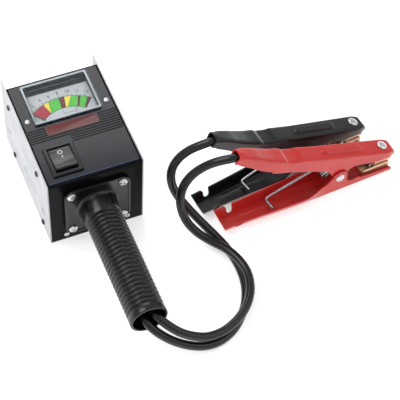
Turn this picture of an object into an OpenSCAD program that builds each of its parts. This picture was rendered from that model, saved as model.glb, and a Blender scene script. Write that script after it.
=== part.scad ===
// Hand-held battery load tester: a bent-steel housing with a moving-coil meter and a
// rocker switch, a hollow ribbed handle, and two heavy leads that end in spring clamps.
// Frame: +Z up, the housing lies on its back, the handle points to -Y, the face looks up.

/* [Housing] */
// Width of the housing over its cover
body_w = 84; // [80:1:110]
// Length of the painted chassis, along the handle
body_l = 112; // [110:1:150]
// Height of the cover sides above the table
body_h = 80; // [70:1:110]
// Sheet thickness of the painted chassis
chassis_t = 1.2; // [0.8:0.1:2]
// Sheet thickness of the plated cover
cover_t = 1; // [0.8:0.1:2]
// How far the cover reaches past the far end of the chassis
cover_ext = 10; // [4:1:16]
// Bend radius of the painted sheet
bend_r = 1.8; // [1.3:0.1:3]
// How far the cover sides stand above the face
lip_proud = 0.8; // [0.4:0.1:2]
// Depth of the chassis lips that the cover is screwed to
lip_d = 20; // [18:1:26]
// Head radius of the small cover screws
screw_head_r = 2.6; // [2.2:0.1:3.4]

/* [Meter] */
// Width of the meter's clear cover
meter_w = 61.5; // [56:0.5:64]
// Height of the meter's clear cover, along the housing
meter_l = 46; // [42:0.5:48]
// How far the clear cover stands above the face
lens_proud = 3.5; // [2:0.5:6]
// Wall thickness of the clear cover
lens_t = 1.2; // [0.8:0.1:2]
// How far the dial lies below the face
dial_drop = 4.5; // [4:0.5:6]
// Depth of the meter case behind the face
case_d = 28; // [24:1:34]
// Radius of the scale's outer edge
scale_r = 41; // [36:0.5:43]
// Angle of the pointer at rest, left of straight up
rest_deg = 41; // [36:1:45]

/* [Switch] */
// Width of the switch bezel
switch_w = 26.5; // [24:0.5:32]
// Length of the switch bezel
switch_l = 31; // [28:0.5:34]
// Tilt of the rocker either side of level
rocker_deg = 9; // [6:1:12]

/* [Handle] */
// Length of the handle with its flange
handle_l = 122; // [110:1:150]
// Outer diameter of the grip over its ribs
grip_d = 32; // [28:0.5:38]
// Inner diameter of the hollow grip
grip_bore_d = 27.2; // [22:0.2:28]
// Number of ribs round the grip
rib_count = 22; // [14:1:26]
// Side of the square flange
flange_w = 58; // [54:1:62]
// Distance between the flange screws
flange_pitch = 45; // [44:0.5:48]

/* [Leads] */
// Diameter of the heavy leads
lead_d = 7.6; // [6:0.2:8]

/* [Clamps] */
// Sheet thickness of the clamp halves
clamp_t = 1.4; // [1:0.1:1.6]
// Outer width of the upper half, which runs between the lower half's ears
clamp_w = 16.8; // [14:0.2:19]
// Side clearance between the two halves
clamp_gap = 0.35; // [0.3:0.05:0.6]
// Shank radius of the pivot rivet
pivot_r = 2.5; // [2:0.1:3]
// Radial running clearance round the pivot rivet
pivot_play = 0.06; // [0.03:0.01:0.1]
// Head radius of the pivot rivet
pivot_head_r = 4.4; // [4:0.1:5.5]
// Wire diameter of the clamp spring
spring_wire_d = 2; // [1.6:0.1:2.2]
// Thickness of the copper jaws
jaw_t = 1; // [0.8:0.1:1.4]

/* [Hidden] */
$fn = 48;
e = 0.01;
// Faces of the housing
chassis_x = body_w / 2 - cover_t;
face_z = body_h - lip_proud;
inner_z = face_z - chassis_t;
// The handle and the housing balance about the origin
shift_y = (handle_l - body_l - cover_ext) / 2;
// Meter, measured from the near end of the chassis
meter_x = -0.5;
meter_y = body_l - 3.5 - meter_l / 2;
meter_r = 2;
pivot_y = meter_y - meter_l / 2 - 13.5;
dial_z = face_z - dial_drop;
case_t = 1.8;
case_near = pivot_y - 10.4;
case_z = inner_z - case_d;
window_in = 2.6;
movement_z = dial_z - 7;
meter_stud_dx = 14;
stud_dy = 24;
meter_screw_x = 35;
meter_screw_y = meter_y - meter_l / 2 + 8;
// Red blank label and striped overlay below the meter
overlay_t = 0.3;
label_l = 9.6;
label_w = 45;
stripe_pitch = 2.55;
stripe_w = 1.3;
stripe_t = 0.35;
stripe_y0 = meter_y - meter_l / 2 - 2;
// Switch
switch_x = -20;
switch_y = 8 + switch_l / 2;
switch_rim = 2;
switch_body_w = switch_w - 4.5;
switch_body_l = switch_l - 3;
switch_body_d = 22;
rocker_w = switch_w - 7.6;
rocker_l = switch_l - 8.4;
rocker_axis_z = face_z - 1;
rocker_pin_r = 1.5;
rocker_play = 0.08;
rocker_gap = 0.35;
// Handle
axis_z = body_h / 2;
flange_t = 3;
flange_r = 8;
neck_l = 9;
neck_r = grip_d / 2 + 3;
collar_l = 8;
end_ring_l = 8;
rib_r = 1.6;
groove_r = grip_d / 2 - 1.2;
rib_start = neck_l + collar_l + flange_t;
rib_pitch = (handle_l - rib_start - end_ring_l) / rib_count;
panel_hole_r = 13;
handle_screw_r = 2;
handle_head_r = 4;
handle_head_t = 2.2;
panel_screw_x = 27.5;
panel_screw_z = 7.5;
// Cover screws along each side: distance from the near end, height
screw_hole_r = 1.5;
side_screws = [[28, face_z - 15], [body_l - 9, face_z - 15], [19, 7], [body_l - 16, 7]];
vent_y = [17, 63, 108];
vent_z = 26;
vent_l = 8;
vent_w = 1.8;
// Load: a folded resistance ribbon on two insulating bars
load_y = [58, 104];
load_z = 10;
load_h = 30;
load_folds = 8;
load_pitch = 5.5;
ribbon_t = 0.5;
bar_t = 5;
load_tail = 6;
bolt_r = 2.5;
bolt_z = 22;
bolt_proud = 3.4;
// Clamp profile, seen from the side: x from the tail to the nose, z up from the table
pivot = [110, 19.5];
lower_len = 165;
nose_x = 168;
web_line = [[8, 97.5], [30, 84], [56, 70.5], [90, 55], [nose_x - 2, 24.5]];
half_w = clamp_w / 2;
ear_in = half_w + clamp_gap;
ear_out = ear_in + clamp_t;
// Half width of the lower half's web where the tail meets the front
web_hw = ear_out - 0.8;
tail_hw = 7;
flare = 22;
flare_x = 88;
ear_r = 7.8;
lug_r = 6.6;
barrel_r = lead_d / 2 + clamp_t + 0.1;
barrel_in_r = lead_d / 2 + 0.1;
barrel_l = 24;
barrel_at = [13, 91];
barrel_deg = 31;
nose_rivet = [157, 28.6];
notch_x = 11;
notch_r = 3;
// Radius of the rivets that hold the jaws, and where they stand
rivet_r = 2;
jaw_rivet_x = 152;
nose_tilt = 22;
// Half width of the upper half's narrow tail
upper_tail_hw = 5.6;
// Radius of the braid between the jaws
braid_r = 1.5;
braid = [0.6, 0.4, 0.28];
jaw_hw = 7.2;
tooth = 1.4;
jaw_line_z = 11.6;
coil_at = [98.5, 23];
coil_r = 3.6;
coil_room = 1.6;
coil_turns = floor((2 * (half_w - clamp_t) - coil_room) / spring_wire_d) - 1;
spring_r = spring_wire_d / 2;
coil_y = coil_turns * spring_r;
leg_y = coil_y - 0.4;
red_at = [102, -34.5];
red_deg = 4.2;
black_at = [90.5, -12];
black_deg = 8;
// Free leads: route points from inside the handle mouth to the clamp barrel
red_route = [[4, -104, 39.5], [5.5, -113, 39.2], [8, -121.5, 37.6], [14, -129, 33], [22.5, -135, 26.5],
    [33, -138.5, 20], [44, -140, 15], [57, -138.6, 12.2], [70, -134, 11.6], [82, -126.3, 11.5],
    [91.3, -116.3, 11.5], [97.3, -104.5, 11.5], [99.8, -91, 11.6], [97.4, -77, 11.9], [91.4, -64.4, 12.3],
    [82.7, -54, 13.4], [74, -45, 18], [67.5, -37.5, 26.5], [64.5, -31, 37], [65, -26, 48.5],
    [69, -23, 60], [76, -22.5, 70.5], [84.5, -24.5, 79.5], [94, -28.2, 87], [105, -32.4, 91.6],
    [114, -33.4, 91.3], [122, -33, 86.9]];
black_route = [[-4.5, -104, 36], [-3.6, -113, 35.4], [-1, -121.5, 33], [5, -129, 27.5], [15, -135.5, 19.5],
    [27, -140, 12], [40, -142.6, 6.6], [54, -142, 4.1], [68, -136.5, 3.9], [79.5, -127, 3.9],
    [88.5, -115.5, 3.9], [94.5, -102.5, 3.9], [97.4, -88.5, 3.9], [97.6, -74, 3.9], [95.5, -60.5, 4.4],
    [90.8, -48.8, 7.4], [84.6, -38.8, 13], [78, -29.8, 20.5], [71.5, -21, 29], [66, -13, 39],
    [63.8, -8, 50.5], [65.5, -5, 62], [71, -4.5, 73], [79, -6, 82], [88.5, -9, 88.8],
    [98.5, -11, 92.2], [107.8, -9.7, 88.1]];
// Leads inside the handle and the housing
inner_red = [[4, -104, 39.5], [4, -90, 40], [4, -60, 41], [3.5, -30, 42], [2, -5, 42], [-2, 10, 42],
    [-8, 19, 42.5], [-12, 23, 45], [-12.8, 23.5, 50]];
inner_black = [[-4.5, -104, 36], [-5, -90, 36], [-5, -60, 35], [-4, -30, 34], [-2, -5, 33], [4, 8, 31],
    [12, 20, 27], [18, 34, 23], [22.5, 44, 22], [23.25, 51.6, 22]];

painted = [0.1, 0.11, 0.14];
plated = [0.85, 0.86, 0.86];
black_plastic = [0.07, 0.07, 0.08];
steel = [0.75, 0.76, 0.78];
copper = [0.8, 0.55, 0.38];
brass = [0.8, 0.65, 0.3];
clamp_red = [0.85, 0.2, 0.18];
clamp_black = [0.12, 0.12, 0.13];

// ---- Shared shapes ----

function unit(v) = v / norm(v);
function tangent(p, i) = unit(p[min(i + 1, len(p) - 1)] - p[max(i - 1, 0)]);
function side_of(p, i) = i == 0
    ? unit(cross(tangent(p, 0), [0, 0, 1]))
    : let (t = tangent(p, i), s = side_of(p, i - 1)) unit(s - (s * t) * t);

// A round tube of radius r along the points p
module tube(p, r, sides = 10) {
    n = len(p);
    rings = [for (i = [0:n - 1]) let (t = tangent(p, i), s = side_of(p, i), b = cross(t, s))
        for (k = [0:sides - 1]) p[i] + r * (cos(360 * k / sides) * s + sin(360 * k / sides) * b)];
    walls = [for (i = [0:n - 2], k = [0:sides - 1]) let (m = (k + 1) % sides)
        [i * sides + k, i * sides + m, (i + 1) * sides + m, (i + 1) * sides + k]];
    ends = [[for (k = [sides - 1:-1:0]) k], [for (k = [0:sides - 1]) (n - 1) * sides + k]];
    polyhedron(points = rings, faces = concat(walls, ends), convexity = 6);
}

// Rounded rectangle centred on the origin
module round_rect(w, l, r) {
    square([w - 2 * r, l], center = true);
    square([w, l - 2 * r], center = true);
    for (x = [-1, 1], y = [-1, 1])
        translate([x * (w / 2 - r), y * (l / 2 - r)]) circle(r);
}

// Pan-head screw along +Z from its seat: the head above, the shank below, a slot on top
module screw(head_r, head_t, shank_r, shank_l) {
    difference() {
        union() {
            translate([0, 0, -shank_l]) cylinder(r = shank_r, h = shank_l + e);
            rotate_extrude() intersection() {
                translate([0, -head_r * 1.6 + head_t]) circle(head_r * 1.6);
                square([head_r, head_t]);
            }
        }
        for (a = [0, 90]) rotate([0, 0, a])
            translate([-head_r * 0.62, -head_r * 0.1, head_t * 0.55])
                cube([head_r * 1.24, head_r * 0.2, head_t]);
    }
}

module in_body() { translate([0, shift_y, 0]) children(); }

// ---- Housing ----

// Section of a bent sheet: width w, height h, top corners of radius r
module bent_section(w, h, r) {
    translate([-w / 2, 0]) square([w, h - r]);
    translate([-w / 2 + r, 0]) square([w - 2 * r, h]);
    for (x = [-1, 1]) translate([x * (w / 2 - r), h - r]) circle(r);
}

// Block with its top edges rounded all round, from y0 to y1
module bent_block(w, l, h, r) {
    intersection() {
        translate([0, l, 0]) rotate([90, 0, 0]) linear_extrude(l) bent_section(w, h, r);
        translate([-w / 2, l / 2, 0]) rotate([90, 0, 90]) linear_extrude(w) bent_section(l, h, r);
    }
}

module side_holes(r) {
    for (s = side_screws, x = [-1, 1])
        translate([x * (body_w / 2 + 2), s[0], s[1]]) rotate([0, -90 * x, 0]) cylinder(r = r, h = 6);
}

module front_chassis() {
    t = chassis_t;
    tab_l = side_screws[2][0] + 8;
    color(painted) in_body() difference() {
        translate([0, 0, cover_t]) difference() {
            bent_block(2 * chassis_x, body_l, face_z - cover_t, bend_r);
            translate([0, t, -e])
                bent_block(2 * (chassis_x - t), body_l - 2 * t, face_z - cover_t - t + e, bend_r - t + 0.1);
            // Open sides between the long lips and the corner tabs
            translate([-body_w, t, -1]) cube([2 * body_w, body_l - 2 * t, 1]);
            translate([-body_w, tab_l, -1])
                cube([2 * body_w, body_l - 2 * tab_l, face_z - cover_t - lip_d + 1]);
            translate([-body_w, t, 17]) cube([2 * body_w, body_l - 2 * t, face_z - cover_t - lip_d - 17]);
        }
        side_holes(screw_hole_r);
        translate([meter_x, meter_y, inner_z - 1])
            linear_extrude(chassis_t + 2)
                round_rect(meter_w - 2 * window_in, meter_l - 2 * window_in, meter_r);
        for (x = [-1, 1]) translate([x * meter_screw_x, meter_screw_y, inner_z - 1])
            cylinder(r = screw_hole_r, h = chassis_t + 2);
        translate([switch_x, switch_y, inner_z - 1])
            linear_extrude(chassis_t + 2) square([switch_body_w, switch_body_l], center = true);
        translate([0, -1, axis_z]) rotate([-90, 0, 0]) cylinder(r = panel_hole_r, h = chassis_t + 2);
        for (x = [-1, 1], z = [-1, 1])
            translate([x * flange_pitch / 2, -1, axis_z + z * flange_pitch / 2])
                rotate([-90, 0, 0]) cylinder(r = handle_screw_r, h = chassis_t + 2);
        for (x = [-1, 1]) translate([x * panel_screw_x, -1, panel_screw_z])
            rotate([-90, 0, 0]) cylinder(r = screw_hole_r, h = chassis_t + 2);
    }
}

module vent_slot() {
    rotate([90, 0, 90]) translate([0, 0, -3]) linear_extrude(6) round_rect(vent_l, vent_w, vent_w / 2 - e);
}

module rear_cover() {
    long = body_l + cover_ext;
    color(plated) in_body() difference() {
        union() {
            translate([-body_w / 2, 0, 0]) cube([body_w, long, cover_t]);
            for (x = [-1, 1]) translate([x * (body_w - cover_t) / 2 - cover_t / 2, 0, 0])
                cube([cover_t, long, body_h]);
            // Inner lip behind the near panel, which takes the two panel screws
            for (x = [-1, 1]) translate([x * panel_screw_x - 6, chassis_t, cover_t - e])
                cube([12, cover_t, 2 * (panel_screw_z - cover_t)]);
        }
        side_holes(screw_hole_r);
        for (x = [-1, 1]) translate([x * panel_screw_x, 0, panel_screw_z])
            rotate([-90, 0, 0]) cylinder(r = screw_hole_r, h = chassis_t + 2 * cover_t);
        for (x = [-1, 1], y = vent_y) translate([x * body_w / 2, y, vent_z]) vent_slot();
        for (x = [-1, 0, 1], y = [30, 50, 70, 90]) translate([x * 20, y, cover_t / 2])
            rotate([0, 90, 0]) vent_slot();
    }
}

module cover_screws() {
    color(steel) in_body() for (s = side_screws, x = [-1, 1])
        translate([x * body_w / 2, s[0], s[1]]) rotate([0, 90 * x, 0])
            screw(screw_head_r, 1.6, screw_hole_r, 5);
}

// Printed overlay with raised dark stripes, clear of the label and the switch
module face_overlay() {
    w = 2 * chassis_x - 2 * bend_r;
    n = 9;
    color([0.03, 0.03, 0.04]) in_body() difference() {
        translate([0, 0, face_z]) for (i = [0:n - 1])
            translate([-w / 2, stripe_y0 - stripe_w - i * stripe_pitch, 0]) cube([w, stripe_w, stripe_t]);
        translate([meter_x - label_w / 2 - 0.5, stripe_y0 - label_l - 0.7, face_z - 1])
            cube([label_w + 1, label_l + 5, 3]);
        translate([switch_x - switch_w / 2 - 1, 0, face_z - 1])
            cube([switch_w + 2, switch_y + switch_l / 2 + 6.5, 3]);
    }
}

module red_label() {
    color([0.5, 0.1, 0.1]) in_body() translate([meter_x - label_w / 2, stripe_y0 - label_l, face_z])
        cube([label_w, label_l, overlay_t]);
}

// ---- Meter ----

module meter_case() {
    far = meter_y + meter_l / 2 - 0.5;
    w = meter_w - 1;
    h = inner_z - case_z;
    color(black_plastic) in_body() difference() {
        union() {
            translate([meter_x - w / 2, case_near, case_z]) cube([w, far - case_near, h]);
            // Frame that fills the face window up to the clear cover
            translate([meter_x, meter_y, inner_z - e])
                linear_extrude(chassis_t + e)
                    round_rect(meter_w - 2 * window_in - 0.4, meter_l - 2 * window_in - 0.4, meter_r);
            for (x = [-1, 1]) translate([x * meter_screw_x - 4, meter_screw_y - 5, inner_z - 4])
                cube([8, 10, 4]);
        }
        translate([meter_x - w / 2 + case_t, case_near + case_t, case_z + case_t])
            cube([w - 2 * case_t, far - case_near - 2 * case_t, h - case_t - 2]);
        // The pointer sweeps through this gap, under the face
        translate([meter_x - w / 2 + 6, case_near + case_t, case_z + case_t])
            cube([w - 12, meter_y - case_near - case_t, h - case_t]);
        translate([meter_x, meter_y, inner_z - 3])
            linear_extrude(chassis_t + 4)
                round_rect(meter_w - 2 * window_in - 2, meter_l - 2 * window_in - 2, meter_r);
        for (x = [-1, 1]) {
            translate([x * meter_screw_x, meter_screw_y, inner_z - 5]) cylinder(r = screw_hole_r, h = 6);
            translate([meter_x + x * meter_stud_dx, pivot_y + stud_dy, case_z - 1])
                cylinder(r = 2, h = case_t + 2);
        }
    }
}

module meter_lens() {
    color([0.8, 0.88, 0.9, 0.35]) in_body() translate([meter_x, meter_y, face_z]) difference() {
        linear_extrude(lens_proud) round_rect(meter_w, meter_l, meter_r);
        translate([0, 0, -e]) linear_extrude(lens_proud - lens_t + e)
            round_rect(meter_w - 2 * lens_t, meter_l - 2 * lens_t, meter_r - lens_t / 2);
    }
}

module meter_dial() {
    w = meter_w - 1 - 2 * case_t - 0.4;
    far = meter_y + meter_l / 2 - 0.5 - case_t - 0.2;
    near = pivot_y + 12;
    color([0.75, 0.8, 0.86]) in_body() {
        translate([meter_x - w / 2, near, dial_z - 0.8]) cube([w, far - near, 0.8]);
        // Two pillars hold the plate off the case floor
        for (x = [-1, 1]) translate([meter_x + x * (w / 2 - 4), meter_y + 8, case_z + case_t])
            cylinder(r = 2, h = dial_z - 0.8 - case_z - case_t + e);
    }
}

module at_pivot() { in_body() translate([meter_x, pivot_y, 0]) children(); }

module meter_magnet() {
    color([0.35, 0.35, 0.37]) at_pivot() translate([0, 0, case_z + case_t]) difference() {
        cylinder(r = 8.4, h = 12);
        translate([0, 0, -1]) cylinder(r = 6.6, h = 14);
    }
}

module meter_core() {
    color(steel) at_pivot() translate([0, 0, case_z + case_t]) difference() {
        union() {
            translate([0, 0, 1.6]) cylinder(r = 3.9, h = 9);
            translate([-6.5, -1.5, 3.5]) cube([13, 3, 5]);
        }
        translate([0, 0, 1]) cylinder(r = 1, h = 12);
    }
}

// Lower and upper bars that carry the jewel bearings
module meter_bridge() {
    z0 = case_z + case_t;
    color(brass) at_pivot() {
        for (x = [-1, 1]) translate([x * 11 - 1.5, -1.5, z0]) cube([3, 3, 17]);
        translate([-12.5, -1.5, z0 + 17 - e]) cube([25, 3, 1.4]);
        translate([0, 0, z0 + 15.2]) cylinder(r = 1.4, h = 2);
    }
}

module at_needle() { at_pivot() rotate([0, 0, rest_deg]) children(); }

// Coil frame with its staff, in the gap between the magnet and the core
module meter_coil() {
    z0 = case_z + case_t;
    color([0.75, 0.4, 0.2]) at_needle() {
        difference() {
            translate([-1, -5.9, z0 + 0.5]) cube([2, 11.8, 12.4]);
            translate([-2, -4.6, z0 + 1.3]) cube([4, 9.2, 10.2]);
        }
        translate([0, 0, z0 + 12.9 - e]) cylinder(r = 0.6, h = 2.2);
    }
}

module meter_needle() {
    color([0.05, 0.05, 0.05]) at_needle() {
        z = dial_z + 0.9;
        translate([0, 0, case_z + case_t + 13.6]) cylinder(r = 1.6, h = 1.2);
        // Raised arm, which clears the bridge, then the flat pointer over the dial
        translate([-0.6, 1, case_z + case_t + 13.6]) cube([1.2, 8, 1]);
        translate([-0.6, 8, case_z + case_t + 13.6]) cube([1.2, 1, z - case_z - case_t - 13.2]);
        translate([-0.6, 8, z]) cube([1.2, scale_r * 0.6, 0.4]);
        translate([-0.35, 8 + scale_r * 0.6 - e, z]) cube([0.7, scale_r * 0.4 - 7.5, 0.4]);
        translate([-1, -5, case_z + case_t + 13.6]) cube([2, 4.2, 1]);
    }
}

module meter_screws() {
    color(steel) in_body() for (x = [-1, 1])
        translate([x * meter_screw_x, meter_screw_y, face_z])
            screw(2.4, 1.5, screw_hole_r - e, chassis_t + 3.5);
}

module meter_terminals() {
    color(brass) in_body() for (x = [-1, 1])
        translate([meter_x + x * meter_stud_dx, pivot_y + stud_dy, case_z]) {
        translate([0, 0, -9]) cylinder(r = 2, h = 9 + case_t + 2);
        translate([0, 0, case_t]) cylinder(r = 3.4, h = 1.6);
        translate([0, 0, -3.2]) cylinder(r = 3.6, h = 3.2, $fn = 6);
    }
}

// ---- Switch ----

module at_switch() { in_body() translate([switch_x, switch_y, 0]) children(); }

module switch_frame() {
    color(black_plastic) at_switch() difference() {
        union() {
            translate([0, 0, face_z]) linear_extrude(switch_rim) round_rect(switch_w, switch_l, 1.2);
            translate([0, 0, face_z - switch_body_d]) linear_extrude(switch_body_d + e)
                square([switch_body_w - 0.4, switch_body_l - 0.4], center = true);
        }
        translate([0, 0, face_z - 12]) linear_extrude(12 + switch_rim + 1)
            square([rocker_w + 2 * rocker_gap, rocker_l + 2 * rocker_gap + 1.4], center = true);
        translate([-rocker_w / 2 - 1.8, 0, rocker_axis_z]) rotate([0, 90, 0])
            cylinder(r = rocker_pin_r + rocker_play, h = rocker_w + 3.6);
    }
}

// Side outline of the rocker: y along the housing, z from its axis, both halves dished
module rocker_outline() {
    half = rocker_l / 2;
    difference() {
        polygon([[-half, -4], [-half * 0.4, -6.5], [half * 0.4, -6.5], [half, -4], [half, 4.6],
            [-half, 4.6]]);
        for (s = [-1, 1]) translate([s * half * 1.15, 4.6 + 19.2]) circle(20.5, $fn = 96);
    }
}

module switch_rocker() {
    color([0.05, 0.05, 0.055]) at_switch() translate([0, 0, rocker_axis_z]) {
        rotate([-rocker_deg, 0, 0]) rotate([90, 0, 90])
            translate([0, 0, -rocker_w / 2]) linear_extrude(rocker_w) rocker_outline();
        rotate([0, 90, 0]) translate([0, 0, -rocker_w / 2 - 1.5])
            cylinder(r = rocker_pin_r, h = rocker_w + 3);
    }
}

module switch_terminals() {
    color(brass) at_switch() for (y = [-7, 0, 7])
        translate([-3.2, y - 0.4, face_z - switch_body_d - 8]) cube([6.4, 0.8, 10]);
}

// ---- Handle ----

module at_handle() { in_body() translate([0, 0, axis_z]) rotate([90, 0, 0]) children(); }

// Half-section of the grip, x is the radius and y the distance from the housing
module grip_section() {
    difference() {
        union() {
            square([groove_r, handle_l]);
            square([grip_d / 2 - 0.3, rib_start]);
            difference() {
                square([neck_r, neck_l + flange_t]);
                translate([neck_r + 0.3, neck_l + flange_t]) circle(neck_l - 1);
            }
            translate([0, handle_l - end_ring_l]) square([grip_d / 2, end_ring_l - 0.6]);
            for (i = [0:rib_count - 1]) translate([grip_d / 2 - rib_r, rib_start + (i + 0.5) * rib_pitch])
                circle(rib_r);
        }
        translate([-e, -1]) square([grip_bore_d / 2 + e, handle_l + 2]);
    }
}

module handle_grip() {
    color(black_plastic) at_handle() difference() {
        union() {
            linear_extrude(flange_t) round_rect(flange_w, flange_w, flange_r);
            // Raised rim round the flange
            translate([0, 0, flange_t - e]) linear_extrude(0.8) difference() {
                round_rect(flange_w, flange_w, flange_r);
                round_rect(flange_w - 3, flange_w - 3, flange_r - 1.5);
            }
            rotate_extrude() grip_section();
        }
        translate([0, 0, -1]) cylinder(r = grip_bore_d / 2, h = flange_t + neck_l);
        for (x = [-1, 1], z = [-1, 1]) translate([x * flange_pitch / 2, z * flange_pitch / 2, -1])
            cylinder(r = handle_screw_r, h = flange_t + 2);
    }
}

module handle_screws() {
    color(steel) at_handle() for (x = [-1, 1], z = [-1, 1])
        translate([x * flange_pitch / 2, z * flange_pitch / 2, flange_t]) {
            screw(handle_head_r, handle_head_t, handle_screw_r, flange_t + chassis_t + 3);
            translate([0, 0, -flange_t - chassis_t - 2.5]) cylinder(r = 3.5, h = 2.5, $fn = 6);
        }
}

module panel_screws() {
    color(steel) in_body() for (x = [-1, 1]) translate([x * panel_screw_x, 0, panel_screw_z])
        rotate([90, 0, 0]) screw(2.4, 1.4, screw_hole_r, chassis_t + cover_t + 1.5);
}

// ---- Load ----

// Half the distance between the ribbon's first and last runs
function ribbon_half() = load_pitch * (load_folds - 1) / 2;

module load_ribbon() {
    near = load_y[0] + bar_t;
    far = load_y[1] - bar_t;
    color([0.55, 0.5, 0.45]) in_body()
        translate([-ribbon_half(), 0, load_z + 3]) linear_extrude(load_h - 14) {
        for (i = [0:load_folds - 1]) translate([i * load_pitch, near]) square([ribbon_t, far - near]);
        for (i = [0:load_folds - 2]) translate([i * load_pitch, i % 2 == 0 ? far - ribbon_t : near])
            square([load_pitch + ribbon_t, ribbon_t]);
        // Both ends turn out along the near bar, to the bolts
        translate([-load_tail, near]) square([load_tail + ribbon_t, ribbon_t]);
        translate([2 * ribbon_half(), near]) square([load_tail, ribbon_t]);
    }
}

module at_bolts() {
    in_body() for (x = [-1, 1])
        translate([x * (ribbon_half() + load_tail - 2), load_y[0], bolt_z]) rotate([-90, 0, 0]) children();
}

module load_insulators() {
    w = 2 * ribbon_half() + 20;
    h = load_z + load_h - 8 - cover_t;
    color([0.85, 0.82, 0.75]) difference() {
        in_body() for (y = [load_y[0], load_y[1] - bar_t])
            translate([-w / 2, y, cover_t]) cube([w, bar_t, h]);
        at_bolts() translate([0, 0, -1]) cylinder(r = bolt_r, h = bar_t + 2);
    }
}

module load_bolts() {
    color(brass) at_bolts() {
        translate([0, 0, -bolt_proud]) cylinder(r = bolt_r, h = bar_t + bolt_proud);
        translate([0, 0, -2]) cylinder(r = bolt_r + 2, h = 2, $fn = 6);
    }
}

// ---- Leads ----

module inner_lead_red() { color([0.06, 0.06, 0.06]) tube(inner_red, lead_d / 2, 8); }
module inner_lead_black() { color([0.06, 0.06, 0.06]) tube(inner_black, lead_d / 2, 8); }
module lead_red() { color([0.08, 0.08, 0.085]) tube(red_route, lead_d / 2, 12); }
module lead_black() { color([0.07, 0.07, 0.075]) tube(black_route, lead_d / 2, 12); }

// Crimped lugs that end the inner leads at the switch and at the load
module lead_lugs() {
    color(copper) {
        translate(inner_red[len(inner_red) - 1]) {
            cylinder(r = 2.6, h = 1.8);
            translate([-4, -1.5, 0.6]) cube([4, 3, 0.8]);
        }
        translate(inner_black[len(inner_black) - 1]) rotate([-90, 0, 0]) difference() {
            cylinder(r = 3.6, h = 1);
            cylinder(r = 1, h = 3, center = true);
        }
    }
}

// Bus strip from the switch to the load
module switch_link() {
    color(copper) in_body() {
        translate([switch_x - 3, switch_y + 7.4, face_z - switch_body_d - 6]) cube([6, 1, 5]);
        translate([switch_x - 8, switch_y + 7.4, load_z + 18])
            cube([6, 1, face_z - switch_body_d - load_z - 19]);
        translate([switch_x - 8, switch_y + 7.4, face_z - switch_body_d - 6]) cube([6, 1, 5]);
        translate([switch_x - 8, switch_y + 7.4, load_z + 18]) cube([6, load_y[0] - switch_y - 7.4, 1]);
    }
}

module meter_wires() {
    for (x = [-1, 1]) color(x < 0 ? [0.7, 0.1, 0.1] : [0.1, 0.1, 0.1]) in_body()
        tube([[meter_x + x * meter_stud_dx, pivot_y + stud_dy, case_z - 9],
            [meter_x + x * meter_stud_dx, pivot_y + stud_dy - 2, case_z - 13],
            [meter_x + x * 12, pivot_y + 10, case_z - 14], [meter_x + x * 11, pivot_y - 4, case_z - 13],
            [meter_x + x * 11, pivot_y - 12, case_z - 9]], 1, 8);
}

// ---- Clamps ----

module at_red() { translate([red_at[0], red_at[1], 0]) rotate([0, 0, red_deg]) children(); }
module at_black() { translate([black_at[0], black_at[1], 0]) rotate([0, 0, black_deg]) children(); }

// Draws a side outline (x, z) as a plate from y0 to y1
module plate(y0, y1) { translate([0, y1, 0]) rotate([90, 0, 0]) linear_extrude(y1 - y0) children(); }

function arc(c, r, a0, a1, n) = [for (i = [0:n]) let (a = a0 + (a1 - a0) * i / n) c + r * [cos(a), sin(a)]];

// Flange of the lower half from the flare to the front, with the pivot ear and the eye
module lower_front_outline() {
    polygon(concat([[flare_x - 3, 0], [lower_len - 2, 0], [lower_len, 2], [lower_len - 0.5, 4.6],
            [141, 6.5], [132, 8]],
        arc([124.5, 16], 7.5, -50, -160, 6),
        arc(pivot, ear_r, -5, 165, 12),
        [[97, 15.5], [flare_x - 3, 13]]));
}

// Flange of the lower half along the flared tail, with the notch near its end
module lower_tail_outline() {
    difference() {
        polygon([[1, 0], [flare_x, 0], [flare_x, 13.6], [70, 11.6], [15, 10.6], [-1, 11.4], [-2.5, 10.2]]);
        translate([notch_x, 5.4]) circle(notch_r);
        translate([notch_x - notch_r, 5.4]) square([2 * notch_r, 9]);
    }
}

module clamp_lower(tint) {
    color(tint) difference() {
        union() {
            // Web on the table: straight in front, narrowing along the tail
            linear_extrude(clamp_t) polygon([[0, -tail_hw], [flare_x, -web_hw], [lower_len - 4, -ear_out],
                [lower_len - 2, -ear_out + 2], [lower_len - 2, ear_out - 2], [lower_len - 4, ear_out],
                [flare_x, web_hw], [0, tail_hw]]);
            for (s = [-1, 1]) {
                plate(s > 0 ? ear_in : -ear_out, s > 0 ? ear_out : -ear_in) lower_front_outline();
                // Flared tail flange, hinged out about the web's edge
                translate([0, s * tail_hw, 0]) rotate([0, 0, s * atan((web_hw - tail_hw) / flare_x)])
                    rotate([-s * flare, 0, 0])
                        plate(s > 0 ? -clamp_t : 0, s > 0 ? 0 : clamp_t) lower_tail_outline();
            }
        }
        translate([pivot[0], -20, pivot[1]]) rotate([-90, 0, 0]) cylinder(r = pivot_r + pivot_play, h = 40);
        translate([jaw_rivet_x, 0, -1]) cylinder(r = rivet_r, h = 4);
        translate([-50, -50, -20]) cube([300, 100, 20]);
    }
}

// Outline between the web line and the flange's lower edge
module upper_flange_outline() {
    polygon(concat([[44, 77.5], [56, 70.5], [90, 55], [nose_x - 2, 24.5], [nose_x, 22], [nose_x - 2, 18.2],
            [147, 19.5], [132, 24.6]],
        arc([125, 18.6], 7.6, 65, 172, 6),
        arc(pivot, lug_r, -30, -170, 8),
        [[101.5, 26], [96, 34.5], [66, 50.5], [44, 62]]));
}

// Band of thickness clamp_t below the web line
module web_outline() {
    polygon(concat(web_line, [[nose_x, 22], [nose_x - 1.2, 21.4]],
        [for (i = [len(web_line) - 1:-1:0]) web_line[i] - [0.6, clamp_t * 1.1]]));
}

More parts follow.
